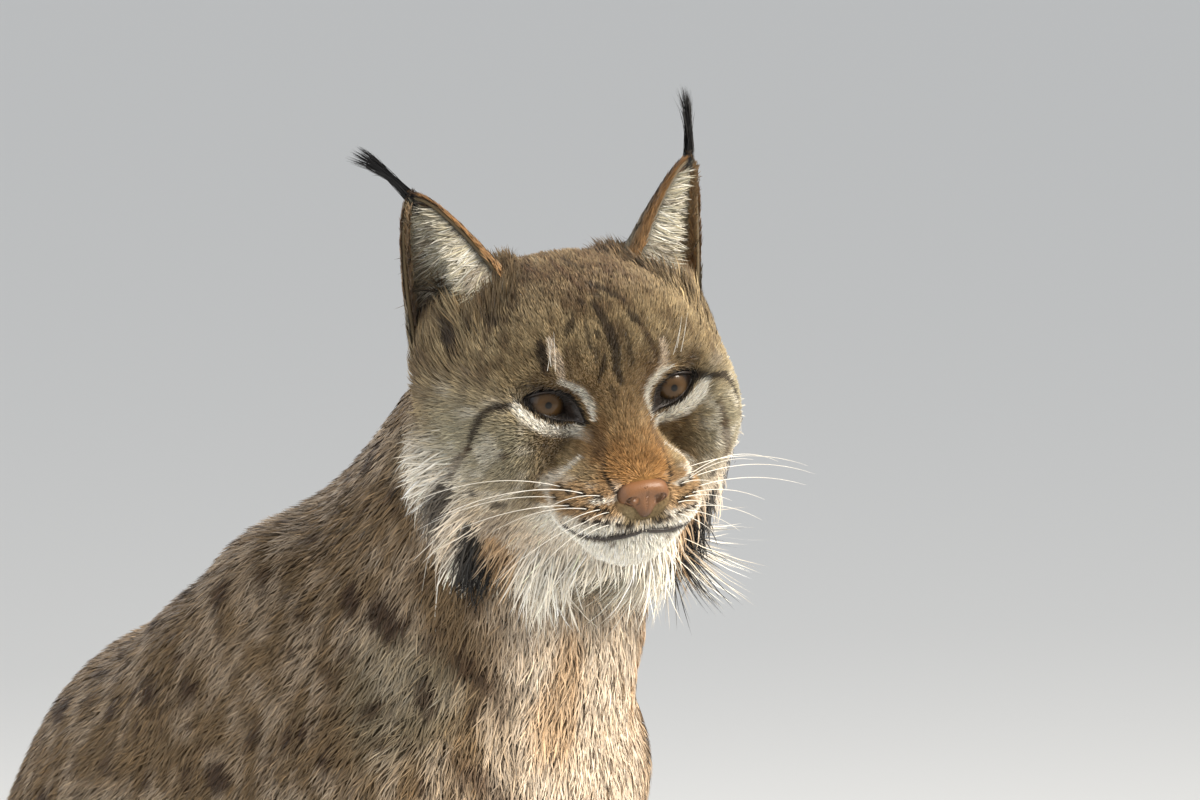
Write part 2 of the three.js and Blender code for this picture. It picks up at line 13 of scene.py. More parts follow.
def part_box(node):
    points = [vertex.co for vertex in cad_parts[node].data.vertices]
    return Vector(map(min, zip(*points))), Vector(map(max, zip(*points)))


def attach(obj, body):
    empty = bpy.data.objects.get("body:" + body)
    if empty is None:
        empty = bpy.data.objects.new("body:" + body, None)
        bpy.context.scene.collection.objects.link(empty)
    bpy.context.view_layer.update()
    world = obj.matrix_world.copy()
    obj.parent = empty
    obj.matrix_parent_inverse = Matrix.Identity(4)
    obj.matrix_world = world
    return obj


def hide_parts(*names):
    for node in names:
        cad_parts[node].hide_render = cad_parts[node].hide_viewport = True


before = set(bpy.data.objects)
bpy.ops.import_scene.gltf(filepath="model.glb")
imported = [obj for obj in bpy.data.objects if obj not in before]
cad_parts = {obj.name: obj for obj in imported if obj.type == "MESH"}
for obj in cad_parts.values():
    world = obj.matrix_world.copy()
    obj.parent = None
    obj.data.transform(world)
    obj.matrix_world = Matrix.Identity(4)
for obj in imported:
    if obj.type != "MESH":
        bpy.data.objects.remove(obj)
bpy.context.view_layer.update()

bl_info = {
    "name": "Sitting lynx",
    "version": (1, 0, 0),
    "blender": (4, 5, 0),
    "location": "View3D > Sidebar > Lynx",
    "description": "Skin, coat, eyes, nose, lips and whiskers over the solids of a life-size lynx",
    "category": "Add Mesh",
}

EYE_SPACING = 62.0
EYE = np.array([EYE_SPACING / 2, -3.0, 2.0])
EYE_RADIUS = 14.0
MUZZLE_REACH = 53.5
HEAD_PLACE = np.array([-55.0, -50.0, 700.0])
HEAD_TURN, HEAD_NOD, HEAD_ROLL = -31.5, 8.0, -6.0
EAR_ROOT = np.array([51.0, 48.0, 36.0])
EAR_TIP = np.array([71.0, 55.0, 94.0])
EAR_TURN = 32.0
TUFTS = {1: (7.0, 20.0, 32.0), -1: (19.0, 26.0, 22.0)}


# The camera: its place round the head in degrees and how far off in mm, its lens and sensor in mm, how far
# left of the head's own point and below it its middle lies, and the picture's size in pixels
VIEW_AZIMUTH, VIEW_HEIGHT, VIEW_FAR = -52.0, 6.0, 4000.0
LENS, SENSOR = 250.3, 36.0
AIM_LEFT, AIM_BELOW = 1.2 / 2.086, 6.7 / 2.086
PICTURE = (1200, 800)


def linear(hex_colour):
    """A linear colour from an sRGB hex value."""
    parts = [int(hex_colour[i : i + 2], 16) / 255 for i in (1, 3, 5)]
    return tuple(c / 12.92 if c <= 0.04045 else ((c + 0.055) / 1.055) ** 2.4 for c in parts)


def colour(name, hex_colour, description):
    return bpy.props.FloatVectorProperty(
        name=name,
        description=description,
        subtype="COLOR",
        size=3,
        min=0,
        max=1,
        default=linear(hex_colour),
    )


def amount(name, default, low, high, description):
    return bpy.props.FloatProperty(name=name, description=description, default=default, min=low, max=high)


class LynxColours(bpy.types.PropertyGroup):
    """Colours of the coat, eyes and nose"""

    crown: colour("Crown", "#847152", "Forehead, crown and nape")
    crown_pale: colour("Crown, pale hairs", "#b39e78", "The paler hairs of the forehead and crown")
    cheek: colour("Cheek", "#979079", "Grey of the cheeks")
    back: colour("Back", "#7a6448", "Back, shoulders and flanks")
    back_pale: colour("Back, pale hairs", "#b3a088", "The paler hairs of the back and flanks")
    brown: colour("Brown marks", "#4a3625", "Spots of the body and weaker strokes of the face")
    dark: colour("Dark marks", "#2b2118", "Strokes of the face and bars of the ruff")
    black: colour("Black", "#131110", "Ear tufts, tail tip and the lower bar of the ruff")
    ochre: colour("Ochre", "#a87a46", "Bridge of the nose and rims of the ears")
    tan: colour("Tan", "#b8956c", "Pads of the muzzle, paws and streaks of the breast")
    cream: colour("Cream", "#d9c7b0", "Breast, belly and insides of the legs")
    white: colour("White", "#ece6d8", "Lips, chin, ruff and the marks round the eyes")
    iris: colour("Iris", "#402e19", "Amber brown of the iris")
    leather: colour("Nose leather", "#6a4628", "Bare skin of the nose")


class LynxSizes(bpy.types.PropertyGroup):
    """Amounts and sizes of the coat, its spots, the irises and the whiskers"""

    density: amount("Coat density", 1.0, 0.1, 1.5, "Number of tufts, as a share of the full coat")
    width: amount("Tuft width", 1.0, 0.3, 3.0, "Width of the tufts, as a share of the usual")
    length: amount("Coat length", 1.0, 0.3, 1.5, "Length of the hairs, as a share of the usual")
    iris: bpy.props.FloatProperty(
        name="Iris width",
        description="Width of the iris",
        subtype="DISTANCE",
        unit="LENGTH",
        default=0.0164,
        min=0.01,
        max=0.02,
    )
    whisker: bpy.props.FloatProperty(
        name="Whisker length",
        description="Length of the longest whiskers",
        subtype="DISTANCE",
        unit="LENGTH",
        default=0.078,
        min=0.02,
        max=0.1,
    )
    spot: amount("Spot spacing", 22.0, 15.0, 60.0, "Spacing in mm of the grid that strews the body's spots")


def ink(name):
    return np.array(getattr(bpy.context.scene.lynx_colours, name))


def turn_matrix(x, y, z):
    """Turns in degrees about the three axes, multiplied in the order X, Y, Z."""
    return np.array(
        Matrix.Rotation(math.radians(x), 3, "X")
        @ Matrix.Rotation(math.radians(y), 3, "Y")
        @ Matrix.Rotation(math.radians(z), 3, "Z")
    )


HEAD_TURNED = turn_matrix(0, 0, HEAD_TURN) @ turn_matrix(HEAD_NOD, 0, 0) @ turn_matrix(0, HEAD_ROLL, 0)


def to_head(p):
    return (p - HEAD_PLACE) @ HEAD_TURNED


def from_head(q):
    return np.asarray(q, float) @ HEAD_TURNED.T + HEAD_PLACE


def view_axes():
    """The camera's right, its up and the way back to it from the head."""
    a, e = math.radians(VIEW_AZIMUTH), math.radians(VIEW_HEIGHT)
    back = np.array([math.sin(a) * math.cos(e), -math.cos(a) * math.cos(e), math.sin(e)])
    right = np.array([math.cos(a), math.sin(a), 0.0])
    return right, np.cross(back, right), back


def lens_place():
    right, up, back = view_axes()
    return HEAD_PLACE - right * AIM_LEFT - up * AIM_BELOW + back * VIEW_FAR


# The animal's frame lies as far from the solids' as the left eye does
LEFT_EYE = np.array((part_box("eye_left")[0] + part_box("eye_left")[1]) / 2) * 1000
OFFSET = LEFT_EYE - from_head(EYE)


def to_row(p):
    return (np.asarray(p, float) + OFFSET) / 1000


# ---- helpers on arrays

def smooth(low, high, x):
    t = np.clip((x - low) / (high - low), 0.0, 1.0)
    return t * t * (3 - 2 * t)


def unit(v):
    return v / np.maximum(np.linalg.norm(v, axis=-1, keepdims=True), 1e-9)


def mirrored(p):
    """Places brought to the left side."""
    return np.abs(p) * (1, 0, 0) + p * (0, 1, 1)


def sided(p):
    """Factors that carry directions worked out on the left side to the side of each place."""
    return np.where(p[:, :1] < 0, -1.0, 1.0) * (1, 0, 0) + (0, 1, 1)


def laid_on(lie, n, share=1.0):
    """Directions laid flat on the surface whose normals are n, wholly or by a share."""
    return unit(lie - (lie * n).sum(1, keepdims=True) * n * share)


def turned_on(lie, n, spread, rng):
    """Directions turned about the normals by chance, as no two hairs lie quite alike."""
    return unit(lie + np.cross(n, lie) * rng.normal(0, spread, len(lie))[:, None])


def hashed(cells, seed):
    """A repeatable number from 0 to 1 for each lattice cell."""
    c = cells.astype(np.int64)
    h = c[..., 0] * 73856093 ^ c[..., 1] * 19349663 ^ c[..., 2] * 83492791 ^ (seed * 2654435761)
    h = (h ^ (h >> 13)) * 1274126177 & 0x7FFFFFFF
    h = (h ^ (h >> 16)) * 1103515245 & 0x7FFFFFFF
    return ((h >> 5) & 0xFFFFFF) / 0xFFFFFF


def noise(p, size, seed=0):
    """Smooth noise from -1 to 1 with features about size mm across."""
    q = p / size
    base = np.floor(q)
    f = q - base
    f = f * f * (3 - 2 * f)
    total = 0.0
    for dx in (0, 1):
        for dy in (0, 1):
            for dz in (0, 1):
                weight = (
                    (f[:, 0] if dx else 1 - f[:, 0])
                    * (f[:, 1] if dy else 1 - f[:, 1])
                    * (f[:, 2] if dz else 1 - f[:, 2])
                )
                total = total + hashed(base + (dx, dy, dz), seed) * weight
    return total * 2 - 1


def spots(p, spacing, radius, seed, chance=1.0):
    """1 inside spots scattered about spacing mm apart, 0 outside, soft at the edge."""
    q = p / spacing
    base = np.floor(q)
    found = np.zeros(len(p))
    for dx in (-1, 0, 1):
        for dy in (-1, 0, 1):
            for dz in (-1, 0, 1):
                cell = base + (dx, dy, dz)
                place = np.stack([hashed(cell, seed + k) for k in (1, 2, 3)], axis=1)
                size = radius * (0.55 + 0.75 * hashed(cell, seed + 4))
                there = hashed(cell, seed + 5) < chance
                far = np.linalg.norm(q - cell - 0.5 - 0.76 * (place - 0.5), axis=1) * spacing
                found = np.maximum(found, np.where(there, smooth(1.35, 0.6, far / size), 0))
    return found


def shares_along(line):
    """How far along a run of points each of them is, from 0 to 1, and the length of the run."""
    lengths = np.linalg.norm(np.diff(line, axis=0), axis=1)
    return np.concatenate([[0], np.cumsum(lengths)]) / max(lengths.sum(), 1e-9), lengths.sum()


def from_line(p, line):
    """Distance from a run of points, and how far along it the nearest place is, from 0 to 1."""
    line = np.asarray(line, float)
    best = np.full(len(p), 1e9)
    along = np.zeros(len(p))
    ends, _ = shares_along(line)
    for i in range(len(line) - 1):
        d = line[i + 1] - line[i]
        t = np.clip((p - line[i]) @ d / max(d @ d, 1e-9), 0, 1)
        far = np.linalg.norm(p - line[i] - t[:, None] * d, axis=1)
        nearer = far < best
        best = np.where(nearer, far, best)
        along = np.where(nearer, ends[i] + t * (ends[i + 1] - ends[i]), along)
    return best, along


def brushed(p, line, width, soft=0.3):
    """How much a stroke of that width covers each place; its ends taper."""
    line = np.asarray(line, float)
    low, high = line.min(axis=0) - width, line.max(axis=0) + width
    near = np.flatnonzero(((p > low) & (p < high)).all(axis=1))
    share = np.zeros(len(p))
    if len(near):
        far, along = from_line(p[near], line)
        half = width / 2 * (0.6 + 0.4 * np.sin(np.pi * np.clip(along, 0.02, 0.98)))
        share[near] = smooth(1 + soft, 1 - soft, far / half)
    return share


def mixed(base, over, share):
    return base + (np.asarray(over) - base) * np.asarray(share)[:, None]


# ---- forms: each gives about the distance outside its surface, and balls that fill it

class Limb:
    """A limb that tapers from radius ra at a to rb at b, its width scaled by flat."""

    def __init__(self, a, b, ra, rb, flat=1.0):
        self.a, self.b = np.array(a, float), np.array(b, float)
        self.ra, self.rb, self.scale = ra, rb, np.array([flat, 1.0, 1.0])

    def __call__(self, p):
        d = (self.b - self.a) / self.scale
        q = (p - self.a) / self.scale
        t = np.clip(q @ d / (d @ d), 0, 1)
        return np.linalg.norm(q - t[:, None] * d, axis=1) - self.ra - t * (self.rb - self.ra)

    def balls(self):
        steps = max(2, int(np.linalg.norm(self.b - self.a) / (0.35 * min(self.ra, self.rb))) + 1)
        for t in np.linspace(0, 1, steps):
            radius = self.ra + t * (self.rb - self.ra)
            yield self.a + t * (self.b - self.a), np.diag(self.scale * radius)


class Mass:
    """An ellipsoid of three radii, turned by degrees."""

    def __init__(self, centre, radii, turned=(0, 0, 0)):
        self.centre, self.radii = np.array(centre, float), np.array(radii, float)
        self.turned = turn_matrix(*turned)

    def __call__(self, p):
        u = (p - self.centre) @ self.turned / self.radii
        near = np.linalg.norm(u, axis=1)
        slope = np.linalg.norm(u / self.radii, axis=1)
        return near * (near - 1) / np.maximum(slope, 1e-9)

    def balls(self):
        yield self.centre, self.turned @ np.diag(self.radii)


class Pair:
    """A form and its mirror image."""

    def __init__(self, form):
        self.form = form

    def __call__(self, p):
        return self.form(mirrored(p))

    def balls(self):
        flip = np.diag([-1.0, 1.0, 1.0])
        for centre, axes in self.form.balls():
            yield centre, axes
            yield flip @ centre, flip @ axes


class Blend:
    """The smooth union of forms, with fillets about k wide."""

    def __init__(self, k, *forms):
        self.k, self.forms = k, forms

    def __call__(self, p):
        least = self.forms[0](p)
        for form in self.forms[1:]:
            d = form(p)
            near = np.maximum(self.k - np.abs(least - d), 0)
            least = np.minimum(least, d) - near * near / (4 * self.k)
        return least

    def balls(self):
        for form in self.forms:
            yield from form.balls()


class Hollowed:
    """A form with a soft-edged hollow taken out of it."""

    def __init__(self, k, form, hollow):
        self.k, self.form, self.hollow = k, form, hollow

    def __call__(self, p):
        d, h = self.form(p), -self.hollow(p)
        near = np.maximum(self.k - np.abs(d - h), 0)
        return np.maximum(d, h) + near * near / (4 * self.k)

    def balls(self):
        yield from self.form.balls()


class OnHead:
    """A form given in the head's own frame."""

    def __init__(self, form):
        self.form = form

    def __call__(self, p):
        return self.form(to_head(p))

    def balls(self):
        for centre, axes in self.form.balls():
            yield from_head(centre), HEAD_TURNED @ axes


def paw(x, y, z, width, wrist, wrist_radius):
    toe = width * 0.155
    toes = [
        Mass(
            (x + side * (width / 2 - toe), y - 40 + 14 * side**2, z - 3),
            (toe, width * 0.27, width * 0.25),
            (0, 0, -9 * side),
        )
        for side in (-1, -0.36, 0.36, 1)
    ]
    palm = Mass((x, y + 10, z + 2), (width * 0.44, width * 0.52, z + 5))
    return Blend(7, Blend(20, palm, Limb(wrist, (x, y + 24, z + 16), wrist_radius, 30)), *toes)


FACE = Blend(
    14,
    Blend(
        26,
        Mass((0, 42, 10), (64, 62, 50)),
        Mass((0, 4, 22), (44, 30, 34)),
        Pair(Mass((46, 18, -16), (28, 38, 34))),
        Pair(Mass((42, 42, -30), (28, 40, 36))),
        Pair(Mass((53, 58, 12), (20, 24, 30))),
        Mass((0, 22, -50), (40, 46, 28)),
    ),
    Limb((0, 2, 14), (0, -MUZZLE_REACH + 14, -25), 19, 13),
    Mass((0, -27, -42), (31, 27, 26)),
    Pair(Mass((17, -MUZZLE_REACH + 23, -46), (19, 19, 15))),
    Mass((0, -MUZZLE_REACH + 25, -63), (19, 16, 15)),
)
SOCKET = Pair(Mass((33.5, -29, 4), (19.6, 11.8, 6.5), (0, -8, 24)))
RUFF_CORE = Blend(
    16,
    Pair(Mass((50, 42, -54), (20, 26, 36), (0, 12, 0))),
    Mass((0, 24, -72), (40, 28, 20)),
)
HEAD = Blend(16, Hollowed(7, FACE, SOCKET), RUFF_CORE)
TRUNK = Blend(
    30,
    Blend(
        40,
        Limb((0, 112, 548), (0, 145, 468), 84, 108, 0.78),
        Limb((0, 145, 468), (0, 232, 444), 108, 114, 0.72),
        Limb((0, 232, 444), (0, 335, 300), 114, 116, 0.76),
        Mass((0, 225, 395), (96, 100, 105)),
        Limb((0, 335, 300), (0, 355, 108), 116, 112, 0.98),
        Mass((2, 68, 518), (72, 72, 112)),
        Pair(Limb((44, 156, 586), (54, 72, 494), 38, 40)),
        Pair(Mass((40, 196, 535), (44, 50, 50))),
        Pair(Limb((54, 72, 494), (68, 126, 345), 42, 37)),
        Pair(Mass((58, 130, 455), (36, 58, 92))),
    ),
    Mass((4, 56, 588), (70, 68, 62)),
    Limb((0, 104, 556), (-12, 36, 656), 80, 62),
    Limb((0, 136, 590), (-6, 60, 668), 34, 34),
)
FORELEG = Pair(
    Blend(
        16,
        Blend(
            30,
            Limb((68, 126, 345), (64, 98, 225), 42, 33, 0.92),
            Limb((64, 98, 225), (60, 66, 98), 33, 29, 0.95),
        ),
        paw(60, 12, 24, 84, (60, 66, 98), 29),
    )
)
HAUNCH = Pair(
    Blend(
        45,
        Limb((84, 345, 200), (116, 196, 214), 94, 58, 0.66),
        Limb((116, 196, 214), (120, 320, 55), 50, 40, 0.75),
        Mass((104, 305, 150), (44, 95, 100)),
    )
)
HIND_FOOT = Pair(
    Blend(
        16,
        Limb((124, 334, 31), (119, 204, 31), 32, 28),
        paw(117, 156, 23, 76, (120, 219, 40), 27),
    )
)
TAIL = Blend(
    18,
    Limb((0, 430, 76), (16, 478, 44), 34, 30),
    Limb((16, 478, 44), (56, 512, 29), 30, 30),
    Limb((56, 512, 29), (134, 520, 28), 30, 31),
)

# Each part of the body: its form, the line that its coat follows, the depth of the coat over the skin
# and the length of its hairs, in mm
BACK_LINE = ((-12, 42, 664), (-4, 88, 596), (0, 140, 510), (0, 220, 410), (0, 300, 300), (0, 348, 130))
PARTS = {
    "head": (OnHead(HEAD), None, 2.6, 9.0),
    "trunk": (TRUNK, BACK_LINE, 4.6, 11.5),
    "foreleg": (FORELEG, ((68, 126, 345), (64, 98, 225), (60, 66, 98), (60, 12, 24), (60, -34, 12)), 3.8, 9.5),
    "haunch": (HAUNCH, ((84, 330, 330), (98, 290, 210), (118, 260, 90), (120, 240, 10)), 4.6, 12.0),
    "hind_foot": (HIND_FOOT, ((124, 350, 50), (119, 204, 31), (117, 156, 23), (117, 108, 10)), 3.6, 10.0),
    "tail": (TAIL, ((0, 430, 76), (16, 478, 44), (56, 512, 29), (150, 521, 28)), 6.0, 17.0),
}
NAMES = list(PARTS)
BODY = Blend(20, *(PARTS[name][0] for name in NAMES[1:]))
WHOLE = Blend(14, BODY, PARTS["head"][0])


def shares(p, softness=12.0):
    """How much of each part of the body there is at each place, as columns in the order of NAMES."""
    d = np.stack([PARTS[name][0](p) for name in NAMES], axis=1)
    w = np.exp(-(d - d.min(axis=1, keepdims=True)) / softness)
    return w / w.sum(axis=1, keepdims=True)


def gradient(field, p, step=0.6):
    here = field(p)
    return here, np.stack([(field(p + np.eye(3)[k] * step) - here) / step for k in range(3)], axis=1)


def settle(p, field, rounds):
    """Moves points on to the zero level of a field."""
    for _ in range(rounds):
        d, g = gradient(field, p)
        size = np.maximum(np.linalg.norm(g, axis=1), 0.35)
        p = p - (np.clip(d / size, -4, 4) / size)[:, None] * g
    return p


# ---- eye opening

# The edge of the left eye's opening, from its outer corner over the top to the inner corner and back
# below, as out from the nose, forward and up from the point EYE_SPACING / 2 beside the middle
OPENING = np.array(
    [
        (12.2, 11.0, 5.9), (10.2, 13.4, 7.9), (6.6, 15.9, 9.4), (2.3, 17.0, 9.9), (-1.8, 17.3, 9.3),
        (-5.6, 17.5, 7.6), (-8.8, 18.2, 5.2), (-11.2, 19.8, 2.0), (-12.8, 21.8, -2.6), (-13.6, 23.5, -6.6),
        (-10.2, 20.6, -5.8), (-6.2, 18.3, -5.6), (-2.2, 17.4, -4.9), (1.8, 16.9, -3.4), (5.6, 15.6, -1.1),
        (9.4, 13.2, 1.7), (11.4, 11.6, 3.9),
    ]
) * (1, -1, 1)


def opening_edge(t):
    """Places round the edge of the left eye's opening, at t from 0 to 1, on a smooth curve."""
    n = len(OPENING)
    s = (np.asarray(t) % 1.0) * n
    i = np.floor(s).astype(int) % n
    f = (s - np.floor(s))[:, None]
    a, b, c, d = (OPENING[(i + k) % n] for k in (-1, 0, 1, 2))
    curve = 0.5 * (2 * b + (c - a) * f + (2 * a - 5 * b + 4 * c - d) * f**2 + (3 * b - a - 3 * c + d) * f**3)
    return curve + (EYE_SPACING / 2, 0, 0)


EDGE_STEPS = 96
EDGE = opening_edge(np.arange(EDGE_STEPS) / EDGE_STEPS)
EDGE_OUT = np.roll(EDGE, -1, axis=0) - np.roll(EDGE, 1, axis=0)
EDGE_OUT = unit(np.stack([-EDGE_OUT[:, 2], np.zeros(EDGE_STEPS), EDGE_OUT[:, 0]], axis=1))


def from_opening(m):
    """Distance outside the opening's edge, seen from the front, for places on the left side; < 0 within."""
    flat, edge = m[:, [0, 2]], EDGE[:, [0, 2]]
    found = np.full(len(m), 1e3)
    near = np.flatnonzero((np.abs(flat - edge.mean(axis=0)) < 34).all(axis=1) & (m[:, 1] < 12))
    if len(near):
        p = flat[near]
        best, inside = np.full(len(p), 1e9), np.zeros(len(p), bool)
        for a, b in zip(edge, np.roll(edge, -1, axis=0)):
            d = b - a
            t = np.clip((p - a) @ d / (d @ d), 0, 1)
            best = np.minimum(best, np.linalg.norm(p - a - t[:, None] * d, axis=1))
            crosses = (a[1] > p[:, 1]) != (b[1] > p[:, 1])
            inside ^= crosses & (p[:, 0] < a[0] + d[0] * (p[:, 1] - a[1]) / (d[1] if d[1] else 1e-9))
        found[near] = np.where(inside, -best, best)
    return found


def coat_depth(p, w=None):
    """Depth of the coat over the skin: shallow on the face and feet, deep on the body."""
    w = shares(p) if w is None else w
    depth = w @ np.array([PARTS[name][2] for name in NAMES])
    q = to_head(p)
    back = smooth(-10, 50, q[:, 1])
    depth = depth + w[:, 0] * (2.0 * back + 2.0 * smooth(-30, -70, q[:, 2]) * back)
    bare = smooth(17, 9, np.linalg.norm(q - (0, -MUZZLE_REACH, -38), axis=1))
    depth = depth * (1 - 0.8 * bare)
    on_paw = w[:, 2] * smooth(110, 60, p[:, 2])
    return depth * (1 - on_paw) + 3.0 * on_paw


def skin_field(p):
    d = WHOLE(p) + coat_depth(p)
    pit = 1.5 - from_opening(mirrored(to_head(p)))
    near = np.maximum(1.2 - np.abs(d - pit), 0)
    return np.maximum(d, pit) + near * near / 4.8


# ---- Blender helpers

def add_node(material, kind, settings=None, inputs=None, links=None, stops=()):
    """Adds a node: its settings, the values of its inputs, what they are linked from, and a ramp's stops."""
    tree = material.node_tree
    node = tree.nodes.new(kind)
    for key, value in (settings or {}).items():
        setattr(node, key, value)
    for key, value in (inputs or {}).items():
        node.inputs[key].default_value = value
    for key, (source, output) in (links or {}).items():
        tree.links.new(source.outputs[output], node.inputs[key])
    for k, (at, rgb) in enumerate(stops):
        if k >= len(node.color_ramp.elements):
            node.color_ramp.elements.new(0.5)
    for k, (at, rgb) in enumerate(stops):
        node.color_ramp.elements[k].position = at
        node.color_ramp.elements[k].color = (*rgb, 1)
    return node


def new_material(name):
    material = bpy.data.materials.new(name)
    material.use_nodes = True
    material.node_tree.nodes.clear()
    return material


def finished(material, inputs, links=None):
    """Ends a material with its shader, of those values and links, and its output."""
    shader = add_node(material, "ShaderNodeBsdfPrincipled", None, inputs, links)
    add_node(material, "ShaderNodeOutputMaterial", links={"Surface": (shader, "BSDF")})
    return material


def place(name, mesh, material, slot, replaced=(), smooth_shaded=True):
    """Links a finished mesh into the scene as a piece of the animal."""
    piece = bpy.data.objects.new(name, mesh)
    bpy.context.scene.collection.objects.link(piece)
    mesh.materials.clear()
    mesh.materials.append(material)
    if smooth_shaded:
        mesh.shade_smooth()
    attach(piece, "root")
    if replaced:
        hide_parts(*replaced)
    return piece


def coords(mesh):
    flat = np.zeros(len(mesh.vertices) * 3)
    mesh.vertices.foreach_get("co", flat)
    return flat.reshape(-1, 3)


def set_coords(mesh, p):
    mesh.vertices.foreach_set("co", np.asarray(p, float).ravel())
    mesh.update()


def set_on_head(mesh, q):
    set_coords(mesh, to_row(from_head(q)))


def set_colours(mesh, name, rgb):
    layer = mesh.attributes.new(name, "FLOAT_COLOR", "POINT")
    layer.data.foreach_set("color", np.concatenate([rgb, np.ones((len(rgb), 1))], axis=1).ravel())


def mesh_from(bm, name):
    mesh = bpy.data.meshes.new(name)
    bm.to_mesh(mesh)
    bm.free()
    return mesh


def joined(name, *meshes):
    """One mesh of several, which are used up."""
    bm = bmesh.new()
    for mesh in meshes:
        bm.from_mesh(mesh)
        bpy.data.meshes.remove(mesh)
    return mesh_from(bm, name)


def sheet(across, along, shape, closed=False):
    """A grid whose places u, v from 0 to 1 are carried to shape(u, v), its two sides merged if closed."""
    bm = bmesh.new()
    bmesh.ops.create_grid(bm, x_segments=across, y_segments=along, size=0.5)
    bm.verts.ensure_lookup_table()
    uv = np.clip(np.array([v.co[:2] for v in bm.verts]) + 0.5, 0, 1)
    for vert, co in zip(bm.verts, shape(uv[:, 0], uv[:, 1])):
        vert.co = co
    if closed:
        bmesh.ops.remove_doubles(bm, verts=bm.verts, dist=1e-4)
    return bm


def tube(line, radii, sides=8):
    """A tube along a run of points, with the radius given at each; its ends are left open."""
    line = np.asarray(line, float)
    tangents = unit(np.gradient(line, axis=0))
    first = unit(np.cross(tangents, (0.13, 0.21, 1.0)))
    second = np.cross(tangents, first)

    def shape(u, v):
        i = np.clip(np.round(v * (len(line) - 1)).astype(int), 0, len(line) - 1)
        a = 2 * np.pi * u
        return line[i] + (np.cos(a)[:, None] * first[i] + np.sin(a)[:, None] * second[i]) * radii[i][:, None]

    bm = sheet(sides, len(line) - 1, shape, closed=True)
    bmesh.ops.recalc_face_normals(bm, faces=bm.faces)
    return bm


# ---- markings

# Strokes of the face: colour, strength, width in mm, and where they run as picked in the picture, in pixels
# from its upper left corner. First those on both sides, picked on the side that shows most
PAIRED_STROKES = (
    ("dark", 0.9, 3.2, (
        (524, 402), (512, 405), (498, 407), (487, 410), (478, 418), (474, 427), (470, 438), (467, 450),
    )),
    ("brown", 0.6, 4, ((467, 448), (460, 458), (452, 466), (446, 478))),
    ("dark", 0.9, 9, ((443, 488), (441, 500), (437, 518), (431, 535))),
    ("black", 0.95, 9, ((466, 533), (470, 548), (476, 562), (481, 575))),
    ("black", 1.0, 17, ((480, 572), (485, 590), (492, 606), (499, 622))),
    ("dark", 0.75, 5, ((470, 494), (473, 496))),
    ("dark", 0.75, 4.5, ((493, 508), (503, 506))),
    ("brown", 0.6, 3, ((497, 456), (508, 457))),
    ("tan", 0.8, 11, ((490, 545), (497, 560), (503, 575))),
    ("white", 0.6, 4, ((577, 455), (566, 465), (553, 476), (541, 485))),
    ("white", 0.55, 6, ((541, 487), (545, 500), (550, 512), (556, 525))),
    ("brown", 0.7, 1.4, ((555, 555), (557, 563))),
    ("brown", 0.8, 1.8, ((560, 558), (562, 578))),
    # Painted shade: a thin dark line along the crease from the bridge down to the nostril
    ("dark", 0.95, 1.6, ((602, 460), (601, 470), (606, 478), (612, 488), (619, 495), (625, 502))),
    # Painted shade: a broad soft brown stroke down each side of the nose's bridge, below the inner corner of
    # the eye
    ("brown", 0.55, 7, ((590, 428), (595, 440), (600, 455))),
    ("brown", 0.5, 2.2, ((520, 416), (532, 424), (545, 432))),
    ("dark", 0.9, 3.4, (
        (562, 527), (570, 533), (580, 538), (592, 541), (605, 541), (618, 538), (630, 535), (640, 532),
    )),
    ("brown", 0.7, 2.4, ((610, 548), (615, 546))),
)
